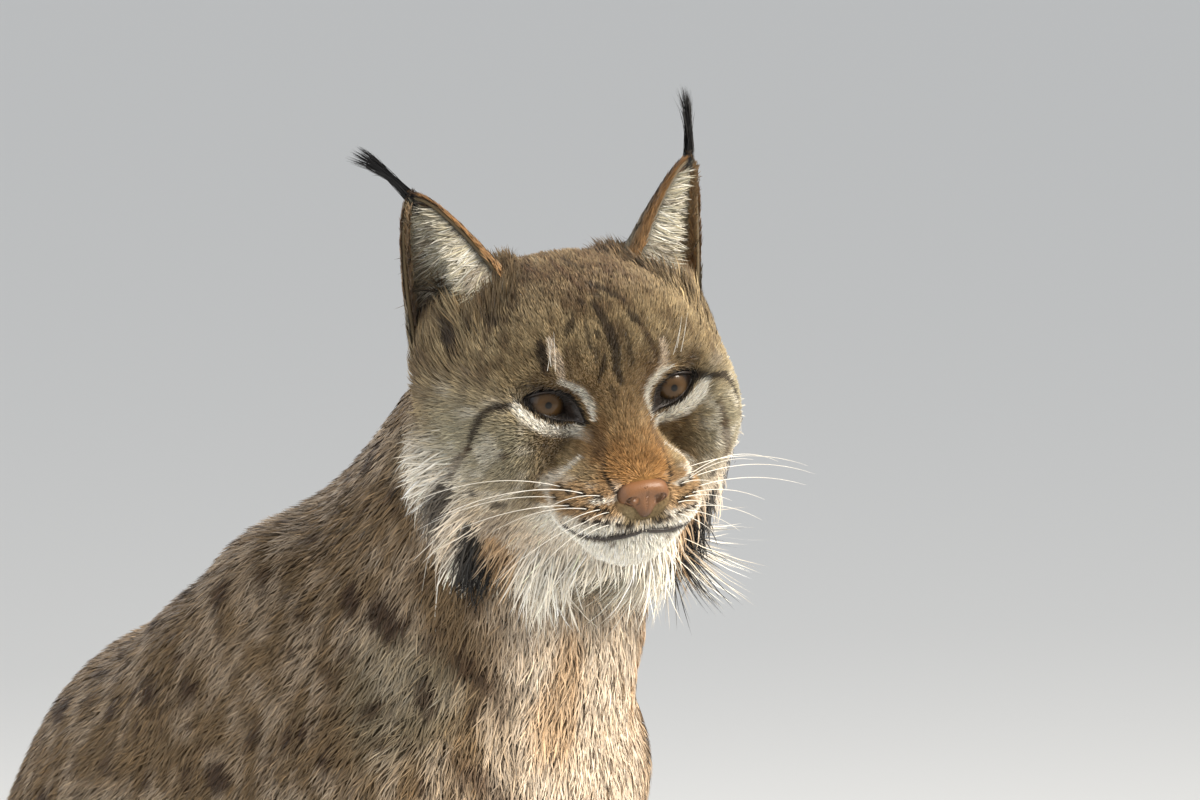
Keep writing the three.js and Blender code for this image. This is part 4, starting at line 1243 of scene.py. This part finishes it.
def build_region(name, seed):
    part, density, width, pairs, cell, pull = REGIONS[name]
    rng = np.random.default_rng(seed)
    p, n, w, depth = skin_roots(density * region_mask(name), rng)
    m = mirrored(to_head(p))
    keep = p[:, 2] > 1.8
    if part == "head":
        keep &= from_opening(m) > 1.2
        keep &= np.linalg.norm((m - (0, -MUZZLE_REACH + 1, -38.5)) / (13.0, 14, 10.0), axis=1) > 1
        keep &= ~ear_root_share(m)
    p, n, w, depth, m = p[keep], n[keep], w[keep], depth[keep], m[keep]
    count = len(p)
    lie = turned_on(laid_on(coat_lie(p, w), n), n, 0.17 if part == "head" else 0.3, rng)
    if name == "coat_ruff":
        long = 42 + 20 * smooth(-40, -80, m[:, 2])
        length = long * rng.uniform(0.5, 1.08, count) * (0.45 + 0.55 * ruff_share(m))
        up = rng.uniform(0.06, 0.36, count)
    else:
        length = coat_length(p, w) * rng.uniform(0.75, 1.2, count)
        up = np.clip(depth * rng.uniform(0.55, 1.15, count) / length, 0.1, 0.8)
    climb = smooth(44, 30, np.linalg.norm(m - EAR_ROOT, axis=1)) * (part == "head") * smooth(66, 54, m[:, 0])
    up = up + (0.6 - up) * climb * rng.uniform(0.4, 1, count)
    up, length = up[:, None], length[:, None]
    tip = p + length * (lie * np.sqrt(1 - up**2) + n * up)
    if name != "coat_ruff":
        over = (depth + WHOLE(tip) - (up * length)[:, 0]) * (1 - climb)
        tip = tip - n * np.clip(over, -5, 5)[:, None]
    tip = gathered(tip, cell, pull, rng)
    bend = p + 0.46 * (tip - p) + n * length * (0.1 + 0.16 * up)
    start = p - n * 0.7
    at = p + 0.62 * (tip - p)
    rgb = ticked(coat_colour(at + rng.normal(0, 0.35, at.shape), w), rng, 0.2)
    pale = rng.random(count)
    tone = np.where(pale > 0.72, 1.35, np.where(pale < 0.22, 0.55, 1.0))
    u, v = unwrapped(p, part)
    widths = width * rng.uniform(0.7, 1.3, count) * bpy.context.scene.lynx_sizes.width
    return tufts(name, start, bend, tip, n, widths, rgb, spread_uv(u, v), rng, pairs, 0.5, tone)


# ---- ears

def ear_frame():
    axis = EAR_TIP - EAR_ROOT
    height = np.linalg.norm(axis)
    axis = axis / height
    face = np.array([math.sin(math.radians(EAR_TURN)), -math.cos(math.radians(EAR_TURN)), 0.0])
    face = unit(face - face @ axis * axis)
    return axis, face, np.cross(axis, face), height


def ear_point(u, v, out=0.0):
    """A place on the left ear: u from 0 to 1 round the back from edge to edge, v from 0 at the root to 1."""
    axis, face, across, height = ear_frame()
    v = np.asarray(v, float)
    share = np.clip(1 - v, 0, 1.3)
    half = 30 * share**0.64 * smooth(1.02, 0.94, v) ** 0.5 + 0.4
    depth = 17 * share**0.7 + 0.6
    angle = (2 * np.asarray(u) - 1) * (math.radians(112) - math.radians(22) * v)
    x = np.sin(angle) * (half + out)
    y = -np.cos(angle) * (depth + out) - 3 * share
    t = v * height - 8 * share
    return EAR_ROOT + x[:, None] * across + y[:, None] * face + t[:, None] * axis


def build_ear_skin(side, name):
    bm = sheet(28, 24, lambda u, v: ear_point(u, v * 1.14 - 0.14) * (side, 1, 1))
    mesh = mesh_from(bm, f"ear_skin_{name}")
    p = coords(mesh)
    set_colours(mesh, "Fur", np.tile(ink("crown") * 0.45, (len(p), 1)))
    set_on_head(mesh, p)
    return mesh


def ear_coat(side, name):
    """The ear's coat: short fur on its back, a soft rim, and long pale hairs across the cup."""
    rng = np.random.default_rng(300 + side)
    share = 1.0
    axis, face, across, height = ear_frame()
    flip = np.array([side, 1, 1])
    meshes = []

    def grow(
        count, pick_u, pick_v, outside, lie_of, length_of, rise, width, paint, pairs=1, cell=2.5, pull=0.3
    ):
        count = int(count * share)
        u, v = pick_u(count), pick_v(count)
        here = ear_point(u, v)
        du = unit(ear_point(u + 0.01, v) - here)
        dv = unit(ear_point(u, v + 0.01) - here)
        n = unit(np.cross(du, dv))
        away = here - (EAR_ROOT + np.clip((here - EAR_ROOT) @ axis, 0, 60)[:, None] * axis + 4 * face)
        n = n * np.sign((away * n).sum(1, keepdims=True)) * (1 if outside else -1)
        lie = turned_on(laid_on(lie_of(u, v, du, dv), n, 1.0 if outside else 0.8), n, 0.16, rng)
        length = (length_of(u, v) * rng.uniform(0.65, 1.15, count))[:, None]
        up = rise * rng.uniform(0.6, 1.4, (count, 1))
        start = here + n * 0.8
        tip = gathered(start + length * (lie + n * up), cell, pull, rng)
        bend = start + 0.45 * (tip - start) + n * length * 0.12
        rgb = ticked(paint(u, v, start + 0.6 * (tip - start)), rng, 0.18)
        d = here - EAR_ROOT
        uu = np.arctan2(d @ across, -(d @ face)) / (2 * np.pi) + 0.5
        vv = np.clip((d @ axis + 20) / (height + 40), 0, 1)
        uv = np.stack([0.02 + 0.96 * uu, 0.01 + 0.245 * (len(meshes) + vv)], axis=1)
        ends = (from_head(q * flip) for q in (start, bend, tip))
        widths = width * rng.uniform(0.7, 1.3, count) * 1.0
        meshes.append(tufts("ear", *ends, (n * flip) @ HEAD_TURNED.T, widths, rgb, uv, rng, pairs, 0.55))

    def back_colour(u, v, at):
        rgb = mixed(np.tile(ink("brown"), (len(u), 1)), ink("cheek"), 0.6 * smooth(0.75, 0.2, v))
        rgb = mixed(rgb, ink("dark"), 0.7 * smooth(0.6, 0.85, v) * smooth(0.9, 0.75, u))
        rgb = mixed(rgb, ink("tan") * 0.8, 0.75 * smooth(0.82, 0.93, u) * smooth(0.15, 0.35, v))
        rgb = mixed(rgb, ink("ochre") * 0.7, 0.8 * smooth(0.18, 0.06, u))
        return mixed(rgb, ink("crown"), 0.8 * smooth(0.16, -0.02, v))

    grow(
        9500, lambda c: rng.random(c), lambda c: rng.uniform(-0.1, 0.98, c), True,
        lambda u, v, du, dv: dv, lambda u, v: 7.0 + 3 * smooth(0.2, 0, v), 0.16, 0.6, back_colour,
    )

    def rim_colour(u, v, at):
        rgb = mixed(np.tile(ink("ochre") * 0.72, (len(u), 1)), ink("brown"), 0.6 * rng.random(len(u)))
        rgb = mixed(rgb, ink("tan") * 0.85, 0.7 * (u > 0.5))
        rgb = mixed(rgb, ink("dark"), 0.85 * smooth(0.9, 0.98, v))
        return mixed(rgb, ink("crown"), 0.7 * smooth(0.2, 0.0, v))

    grow(
        6500,
        lambda c: np.where(rng.random(c) < 0.55, rng.uniform(0, 0.17, c), rng.uniform(0.93, 1.0, c)),
        lambda c: rng.uniform(-0.06, 0.97, c),
        False,
        lambda u, v, du, dv: unit(dv + 0.35 * np.where(u[:, None] < 0.5, du, -du)),
        lambda u, v: 5.5 + 1.5 * smooth(0.4, 0, v),
        0.35,
        0.5,
        rim_colour,
    )

    def inner_colour(u, v, at):
        far = (at - EAR_ROOT) @ across / (30 * np.clip(1 - v, 0.05, 1.3) ** 0.64)
        rgb = mixed(np.tile(ink("cheek"), (len(u), 1)), ink("white") * 0.8, rng.random(len(u)) ** 1.8)
        # The lateral side of the cup turns brown: partly dark fur, partly painted shade in the cup
        rgb = mixed(rgb, ink("brown"), 0.7 * smooth(0.3, 0.8, far))
        rgb = mixed(rgb, ink("brown"), 0.55 * (noise(at, 7, 93) < -0.35))
        # Dark at the bottom of the cup near the root: painted shade in the ear's hollow
        return mixed(rgb, ink("dark"), 0.7 * smooth(0.1, -0.1, v) * smooth(0.1, 0.5, u))

    def inner_lie(u, v, du, dv):
        slope = (0.5 * smooth(0.3, 0.9, v) - 0.35)[:, None]
        return across + axis * slope + face * 0.2 + 0.25 * rng.normal(0, 1, (len(u), 1)) * axis

    grow(
        6400, lambda c: rng.beta(0.8, 1.8, c) * 0.7, lambda c: rng.uniform(-0.12, 0.9, c), False,
        inner_lie, lambda u, v: 9 + 13 * smooth(0.9, 0.1, v), 0.3, 0.5, inner_colour, 3, 4.0, 0.35,
    )

    def floor_colour(u, v, at):
        # Dark towards the back and bottom of the cup: painted shade in the ear's hollow
        cup_shade = smooth(0.3, 0.7, u) * smooth(0.45, 0.1, v)
        rgb = mixed(np.tile(ink("cheek") * 0.6, (len(u), 1)), ink("dark"), cup_shade)
        return mixed(rgb, ink("tan") * 0.8, 0.7 * smooth(0.72, 0.9, u))

    grow(
        5200, lambda c: rng.uniform(0.04, 0.96, c), lambda c: rng.uniform(-0.1, 0.93, c), False,
        lambda u, v, du, dv: dv + 0.4 * du, lambda u, v: 8.0 + 0 * v, 0.2, 0.8, floor_colour,
    )
    return joined(f"coat_ear_{name}", *meshes)


def ear_tuft(side, name):
    """The long black hairs at the ear's tip, in a thin fan."""
    rng = np.random.default_rng(400 + side)
    count = 420
    axis, face, across, _ = ear_frame()
    towards = np.array(TUFTS[side])
    share = rng.uniform(0.4, 1.05, (count, 1))
    start = EAR_TIP + rng.uniform(-10, 1, (count, 1)) * axis + rng.normal(0, 1.2, (count, 3))
    spread = rng.normal(0, 1.0, (count, 1)) * across + rng.normal(0, 0.5, (count, 1)) * face
    drop = 2.0 * share**2 * np.abs(spread @ across)[:, None]
    tip = EAR_TIP + towards * share + spread * 3.4 * share**1.5 - axis * drop
    bend = EAR_TIP + towards * 0.3 + axis * 6 + rng.normal(0, 0.9, (count, 3))
    rgb = np.tile(ink("black"), (count, 1)) * rng.uniform(0.6, 1.6, (count, 1))
    uv = np.stack([0.02 + 0.96 * rng.random(count), 0.02 + 0.96 * share[:, 0] / 1.1], axis=1)
    ends = (from_head(q * (side, 1, 1)) for q in (start, bend, tip))
    n = np.tile((face * (side, 1, 1)) @ HEAD_TURNED.T, (count, 1))
    width = rng.uniform(0.3, 0.55, count)
    return tufts(f"ear_tuft_{name}", *ends, n, width, rgb, uv, rng, 3, 0.8)


# ---- eyes

def build_eye(side, name):
    """A wet eyeball with the bulge of the cornea, its pole along the gaze, and places on the iris."""
    bm = bmesh.new()
    bmesh.ops.create_uvsphere(bm, u_segments=72, v_segments=48, radius=1.0)
    mesh = mesh_from(bm, f"eyeball_{name}")
    p = coords(mesh)
    gaze = unit(np.array([0.009 if side > 0 else -0.138, -1.0, 0.03 if side > 0 else 0.06]))
    right = unit(np.cross(gaze, (0, 0, 1.0)))
    up = np.cross(right, gaze)
    angle = np.arccos(np.clip(p[:, 2], -1, 1))
    local = p * (EYE_RADIUS * (1 + 0.03 * smooth(0.62, 0.3, angle)))[:, None]
    q = EYE * (side, 1, 1) + local[:, :1] * right + local[:, 1:2] * up + local[:, 2:] * gaze
    turn = np.arctan2(p[:, 1], p[:, 0])
    reach = angle * EYE_RADIUS / (bpy.context.scene.lynx_sizes.iris * 500)
    attribute = mesh.attributes.new("Iris", "FLOAT_VECTOR", "POINT")
    attribute.data.foreach_set("vector", np.stack([reach, np.cos(turn), np.sin(turn)], axis=1).ravel())
    set_on_head(mesh, q)
    return mesh


def wet_eye():
    """Living eye: amber-brown iris streaked towards a small pupil, dark rim, under a clear wet cornea."""
    material = new_material("wet eye")
    iris = add_node(material, "ShaderNodeAttribute", {"attribute_name": "Iris", "attribute_type": "GEOMETRY"})
    split = add_node(material, "ShaderNodeSeparateXYZ", links={"Vector": (iris, "Vector")})
    round_it = add_node(material, "ShaderNodeCombineXYZ", links={"X": (split, "Y"), "Y": (split, "Z")})
    spread = add_node(
        material, "ShaderNodeVectorMath", {"operation": "SCALE"}, {"Scale": 12.0}, {0: (round_it, "Vector")}
    )
    at = {"Vector": (spread, "Vector")}
    grain = add_node(material, "ShaderNodeTexNoise", None, {"Scale": 1.5, "Detail": 5.0}, at)
    stray = add_node(
        material, "ShaderNodeMath", {"operation": "MULTIPLY_ADD"}, {1: 0.26, 2: -0.13}, {0: (grain, "Fac")}
    )
    both = {0: (split, "X"), 1: (stray, "Value")}
    far = add_node(material, "ShaderNodeMath", {"operation": "ADD"}, None, both)
    reach = add_node(material, "ShaderNodeMapRange", inputs={"From Max": 1.6}, links={"Value": (far, "Value")})
    amber = ink("iris")
    streaks = ((0.0, 0.6), (0.13, 0.75), (0.3, 1.15), (0.47, 0.9), (0.56, 0.45))
    rim = ((0.62, "#1a120c"), (0.8, "#120c09"), (1.0, "#241812"))
    ramp = add_node(
        material, "ShaderNodeValToRGB", links={"Fac": (reach, "Result")},
        stops=[(at, amber * share) for at, share in streaks] + [(at, linear(shade)) for at, shade in rim],
    )
    pupil = add_node(
        material,
        "ShaderNodeMapRange",
        inputs={"From Min": 0.17, "From Max": 0.23, "To Min": 1.0, "To Max": 0.0},
        links={"Value": (split, "X")},
    )
    mix = add_node(
        material, "ShaderNodeMix", {"data_type": "RGBA"}, {"B": (0.002, 0.0017, 0.0015, 1)},
        {"Factor": (pupil, "Result"), "A": (ramp, "Color")},
    )
    wet = {"Roughness": 0.4, "Coat Weight": 0.3, "Coat Roughness": 0.03, "Specular IOR Level": 0.1}
    return finished(material, wet, {"Base Color": (mix, "Result")})


def build_lids(side, name):
    """Both lids of one eye as a closed rim: from the ball over the wet edge and out under the coat."""
    ball = EYE + unit((EDGE - EYE) * (0.8, 1, 0.8)) * (EYE_RADIUS - 0.4)
    rows = np.array((
        ball,
        EDGE - EDGE_OUT * 0.2,
        EDGE + EDGE_OUT * 0.3 + (0, -0.5, 0),
        EDGE + EDGE_OUT * 0.65 + (0, -0.2, 0),
        EDGE + EDGE_OUT * 1.4 + (0, 1.2, 0),
        EDGE + EDGE_OUT * 4.8 + (0, 3.6, 0),
        EDGE + EDGE_OUT * 2.4 + (0, 7.0, 0),
    ))

    def shape(u, v):
        i = np.round(u * EDGE_STEPS).astype(int) % EDGE_STEPS
        k = np.round(v * len(rows)).astype(int) % len(rows)
        return rows[k, i] * (side, 1, 1)

    bm = sheet(EDGE_STEPS, len(rows), shape, closed=True)
    bmesh.ops.recalc_face_normals(bm, faces=bm.faces)
    mesh = mesh_from(bm, f"lids_{name}")
    set_on_head(mesh, coords(mesh))
    return mesh


def moist_skin():
    """Bare skin of the lids and lips: black-brown, finely grained and a little moist."""
    material = bpy.data.materials.get("moist dark skin")
    if material:
        return material
    material = new_material("moist dark skin")
    where = add_node(material, "ShaderNodeTexCoord")
    at = {"Vector": (where, "Object")}
    grain = add_node(material, "ShaderNodeTexNoise", None, {"Scale": 900.0, "Detail": 3.0}, at)
    ramp = add_node(
        material, "ShaderNodeValToRGB", links={"Fac": (grain, "Fac")},
        stops=((0.3, linear("#0e0b09")), (0.7, linear("#2a1e17"))),
    )
    depth = {"Strength": 0.3, "Distance": 0.0004}
    bump = add_node(material, "ShaderNodeBump", None, depth, {"Height": (grain, "Fac")})
    return finished(material, {"Roughness": 0.42}, {"Base Color": (ramp, "Color"), "Normal": (bump, "Normal")})


# ---- nose, lips and whiskers

FRONT = -MUZZLE_REACH
NOSE = Blend(
    5,
    Mass((0, FRONT + 2.5, -33.5), (10.5, 7, 4.5)),
    Pair(Mass((8, FRONT + 3.5, -37.5), (5, 7, 5))),
    Mass((0, FRONT + 3.5, -42), (5.5, 6.5, 7)),
)
NOSTRIL = Pair(
    Blend(
        1.5,
        Mass((6.9, FRONT - 4.0, -39.0), (3.0, 5.0, 2.2), (0, -15, -10)),
        Mass((10.4, FRONT - 0.5, -41.0), (3.4, 4.0, 1.0), (0, 20, -30)),
    )
)
PHILTRUM = Mass((0, FRONT - 4.6, -43.5), (0.6, 1.6, 8))
NOSE_FORM = Hollowed(1.2, Hollowed(1.5, NOSE, NOSTRIL), PHILTRUM)


def build_nose():
    bm = bmesh.new()
    bmesh.ops.create_icosphere(bm, subdivisions=6, radius=1.0)
    mesh = mesh_from(bm, "nose_leather")
    p = settle(unit(coords(mesh)) * (12.5, 8.5, 9) + (0, FRONT + 3, -38.5), NOSE_FORM, 8)
    # The nostrils and the philtrum's groove are painted near black: painted shade in their hollows
    dark = np.maximum(smooth(0.9, -0.6, NOSTRIL(p)), 0.7 * smooth(0.5, -0.2, PHILTRUM(p)))
    edge = smooth(FRONT - 1.5, FRONT + 2.0, p[:, 1])
    # Painted light: the top of the leather is painted lighter, a painted highlight, and its lower part darker,
    # painted shade underneath
    rgb = mixed(np.tile(ink("leather"), (len(p), 1)), ink("leather") * 1.35, smooth(-37, -31, p[:, 2]))
    rgb = mixed(rgb, ink("leather") * 0.6, smooth(-41, -48, p[:, 2]))
    set_colours(mesh, "Leather", mixed(rgb, linear("#1d130f"), np.maximum(dark, 0.8 * edge)))
    set_on_head(mesh, p)
    return mesh


def nose_leather():
    """Nose leather: reddish brown, pebbled at about 0.5 mm and slightly moist, dark at its edges, with a
    painted highlight on top and painted shade underneath and in the nostrils and philtrum.
    """
    material = new_material("nose leather")
    leather = {"attribute_name": "Leather", "attribute_type": "GEOMETRY"}
    tone = add_node(material, "ShaderNodeAttribute", leather)
    where = add_node(material, "ShaderNodeTexCoord")
    pebbles = add_node(
        material, "ShaderNodeTexVoronoi", {"feature": "F1"}, {"Scale": 1400.0}, {"Vector": (where, "Object")}
    )
    bump = add_node(
        material, "ShaderNodeBump", {"invert": True}, {"Strength": 0.35, "Distance": 0.0003},
        {"Height": (pebbles, "Distance")},
    )
    moist = {"Roughness": 0.45, "Specular IOR Level": 0.45}
    return finished(material, moist, {"Base Color": (tone, "Color"), "Normal": (bump, "Normal")})


def on_muzzle(turn, drop):
    """Places on the muzzle's skin, seen from inside the jaw: turned from straight ahead, and down."""
    centre = np.array([0, -22.0, -50.0])
    way = unit(np.stack([np.sin(turn), -np.cos(turn), -np.asarray(drop)], axis=1))
    low, high = np.zeros(len(way)), np.full(len(way), 80.0)
    for _ in range(24):
        middle = (low + high) / 2
        inside = HEAD(centre + way * middle[:, None]) + 1.6 < 0
        low, high = np.where(inside, middle, low), np.where(inside, high, middle)
    return centre + way * low[:, None]


def build_lips():
    side = np.linspace(-1, 1, 49)
    drop = 0.19 + 0.11 * np.sin(np.pi * np.abs(side)) - 0.19 * side**2
    line = on_muzzle(side * math.radians(80), drop)
    lips = tube(line, 1.35 * np.sin(np.linspace(0.0, np.pi, 49)) ** 0.35 + 0.02)
    cleft = tube(on_muzzle(np.zeros(12), np.linspace(-0.12, 0.19, 12)), np.full(12, 0.6), 6)
    mesh = joined("lips", mesh_from(lips, "line"), mesh_from(cleft, "cleft"))
    set_on_head(mesh, coords(mesh))
    return mesh


def build_whiskers():
    """Ivory whiskers from the pads and over the eyes, arched and drooping to fine points."""
    rng = np.random.default_rng(55)
    longest = bpy.context.scene.lynx_sizes.whisker * 1000
    hairs = []
    s = np.linspace(0, 1, 16)[:, None]

    def add(root, way, length, droop, radius, side):
        line = root + way * length * s + np.array([0, 0.06 * length, 0]) * s**2 + (0, 0, -droop) * s**2
        hairs.append(mesh_from(tube(line * (side, 1, 1), radius * (1 - s[:, 0]) ** 0.6 + 0.03, 4), "hair"))

    for side in (1, -1):
        for root in WHISKER_ROOTS[:12]:
            back = smooth(18, 38, root[0])
            length = longest * (0.3 + 0.7 * back) * rng.uniform(0.75, 1.05)
            slope = 0.22 + 0.03 * (root[2] + 36) + rng.normal(0, 0.07)
            way = unit(np.array([0.95, -0.05 + 0.4 * back + rng.normal(0, 0.1), slope]))
            add(root + way * -1.5, way, length, length * rng.uniform(0.26, 0.42), 0.18, side)
        for x, z in ((30, 20), (32, 23), (34, 21)):
            way = unit(np.array([0.2 * rng.normal(), -0.45, 1.0]))
            add(np.array([x, -21.0, z]), way, rng.uniform(14, 24), -2.0, 0.1, side)
    mesh = joined("whiskers", *hairs)
    set_on_head(mesh, coords(mesh))
    return mesh


def whisker_horn():
    """Whiskers: stiff, ivory-white horn that shines along its length."""
    material = new_material("ivory horn hair")
    where = add_node(material, "ShaderNodeTexCoord")
    tone = add_node(material, "ShaderNodeTexNoise", inputs={"Scale": 40.0}, links={"Vector": (where, "Object")})
    ramp = add_node(
        material, "ShaderNodeValToRGB", links={"Fac": (tone, "Fac")},
        stops=((0.3, linear("#cfc8ba")), (0.7, linear("#f2ede2"))),
    )
    return finished(material, {"Roughness": 0.35}, {"Base Color": (ramp, "Color")})


# ---- operators and panel

FLESH = ("torso", "neck", "head", "tail_base", "tail_tip") + tuple(
    f"{limb}_{side}"
    for limb in ("foreleg", "forepaw", "haunch", "hindfoot", "hindpaw")
    for side in ("left", "right")
)


class LYNX_OT_skin(bpy.types.Operator):
    """Lay one skin over the whole animal, inside the coat's outline"""

    bl_idname = "lynx.skin"
    bl_label = "Lay the skin"

    def execute(self, context):
        place("skin", build_skin(), underfur(), "coat", FLESH)
        return {"FINISHED"}


class LYNX_OT_coat(bpy.types.Operator):
    """Grow the coat's tufts, region by region, along the lie of the fur"""

    bl_idname = "lynx.coat"
    bl_label = "Grow the coat"

    def execute(self, context):
        if not SKIN:
            raise RuntimeError("The coat grows on the skin, so lay the skin first")
        for k, name in enumerate(REGIONS):
            place(name, build_region(name, 200 + k), winter_fur(), "coat", smooth_shaded=False)
        return {"FINISHED"}


class LYNX_OT_ears(bpy.types.Operator):
    """Make both ears: shell, fur, pale hairs in the cup and the black tuft"""

    bl_idname = "lynx.ears"
    bl_label = "Make the ears"

    def execute(self, context):
        for side, name in ((1, "left"), (-1, "right")):
            ear = place(f"ear_skin_{name}", build_ear_skin(side, name), winter_fur(), "coat", (f"ear_{name}",))
            thick = ear.modifiers.new("thickness", "SOLIDIFY")
            thick.thickness = 0.0016
            thick.offset = 0.0
            place(f"coat_ear_{name}", ear_coat(side, name), winter_fur(), "coat", smooth_shaded=False)
            place(f"ear_tuft_{name}", ear_tuft(side, name), winter_fur(), "black_fur", smooth_shaded=False)
        return {"FINISHED"}


class LYNX_OT_eyes(bpy.types.Operator):
    """Set both eyeballs between their lids"""

    bl_idname = "lynx.eyes"
    bl_label = "Set the eyes"

    def execute(self, context):
        eye = wet_eye()
        for side, name in ((1, "left"), (-1, "right")):
            place(f"eyeball_{name}", build_eye(side, name), eye, "eye", (f"eye_{name}",))
            place(f"lids_{name}", build_lids(side, name), moist_skin(), "coat")
        return {"FINISHED"}


class LYNX_OT_muzzle(bpy.types.Operator):
    """Make the nose leather with its nostrils, and the lips with the cleft"""

    bl_idname = "lynx.muzzle"
    bl_label = "Make nose and lips"

    def execute(self, context):
        place("nose_leather", build_nose(), nose_leather(), "nose_leather", ("nose",))
        place("lips", build_lips(), moist_skin(), "coat")
        return {"FINISHED"}


class LYNX_OT_whiskers(bpy.types.Operator):
    """Set the whiskers of the pads and brows"""

    bl_idname = "lynx.whiskers"
    bl_label = "Set the whiskers"

    def execute(self, context):
        place("whiskers", build_whiskers(), whisker_horn(), "coat")
        return {"FINISHED"}


# Each lamp: metres to the right, up and towards the camera from the head, watts, width and colour
LAMPS = (
    ("key", 2.2, 1.8, 1.1, 190.0, 1.1, (1.0, 0.93, 0.83)),
    ("fill", -2.0, 0.6, 1.6, 26.0, 2.4, (0.95, 0.97, 1.0)),
    ("rim", -0.8, 1.9, -2.0, 36.0, 1.4, (1.0, 0.97, 0.93)),
)


class LYNX_OT_stage(bpy.types.Operator):
    """Lay a pale floor and set the lamps and the camera"""

    bl_idname = "lynx.stage"
    bl_label = "Set the stage"

    def execute(self, context):
        scene = context.scene
        scene.view_settings.view_transform = "Standard"
        bm = bmesh.new()
        bmesh.ops.create_circle(bm, cap_ends=True, segments=96, radius=60.0)
        floor = bpy.data.objects.new("floor", mesh_from(bm, "floor"))
        scene.collection.objects.link(floor)
        matt = {"Base Color": (*linear("#dcdcda"), 1), "Roughness": 0.9}
        paper = finished(new_material("studio paper"), matt)
        floor.data.materials.append(paper)
        world = bpy.data.worlds.new("studio")
        scene.world = world
        world.use_nodes = True
        sky = world.node_tree.nodes["Background"].inputs
        sky["Color"].default_value, sky["Strength"].default_value = (0.95, 0.97, 1.0, 1), 0.7
        target = Vector(to_row(HEAD_PLACE))
        right, up, back = (Vector(axis) for axis in view_axes())
        for name, x, y, z, power, size, tint in LAMPS:
            light = bpy.data.lights.new(name, "AREA")
            light.energy, light.size, light.color = power, size, tint
            lamp = bpy.data.objects.new(name, light)
            lamp.location = target + right * x + up * y + back * z
            lamp.rotation_euler = (target - lamp.location).to_track_quat("-Z", "Y").to_euler()
            scene.collection.objects.link(lamp)
        camera = bpy.data.objects.new("camera", bpy.data.cameras.new("camera"))
        camera.location = to_row(lens_place())
        camera.rotation_euler = (-back).to_track_quat("-Z", "Y").to_euler()
        camera.data.lens = LENS
        camera.data.sensor_width = SENSOR
        camera.data.clip_start, camera.data.clip_end = 0.1, 200
        scene.collection.objects.link(camera)
        scene.camera = camera
        return {"FINISHED"}


OPERATORS = (
    LYNX_OT_skin,
    LYNX_OT_coat,
    LYNX_OT_ears,
    LYNX_OT_eyes,
    LYNX_OT_muzzle,
    LYNX_OT_whiskers,
    LYNX_OT_stage,
)


class VIEW3D_PT_lynx(bpy.types.Panel):
    """The lynx's pieces, sizes and colours"""

    bl_label = "Sitting lynx"
    bl_space_type = "VIEW_3D"
    bl_region_type = "UI"
    bl_category = "Lynx"

    def draw(self, context):
        for operator in OPERATORS:
            self.layout.operator(operator.bl_idname)
        for settings in (context.scene.lynx_sizes, context.scene.lynx_colours):
            box = self.layout.box()
            for name in type(settings).__annotations__:
                box.prop(settings, name)


CLASSES = (LynxColours, LynxSizes, *OPERATORS, VIEW3D_PT_lynx)


def register():
    for kind in CLASSES:
        bpy.utils.register_class(kind)
    bpy.types.Scene.lynx_colours = bpy.props.PointerProperty(type=LynxColours)
    bpy.types.Scene.lynx_sizes = bpy.props.PointerProperty(type=LynxSizes)


def unregister():
    del bpy.types.Scene.lynx_sizes
    del bpy.types.Scene.lynx_colours
    for kind in reversed(CLASSES):
        bpy.utils.unregister_class(kind)


def main():
    register()
    bpy.ops.lynx.skin()
    bpy.ops.lynx.coat()
    bpy.ops.lynx.ears()
    bpy.ops.lynx.eyes()
    bpy.ops.lynx.muzzle()
    bpy.ops.lynx.whiskers()
    bpy.ops.lynx.stage()


if __name__ == "__main__":
    main()
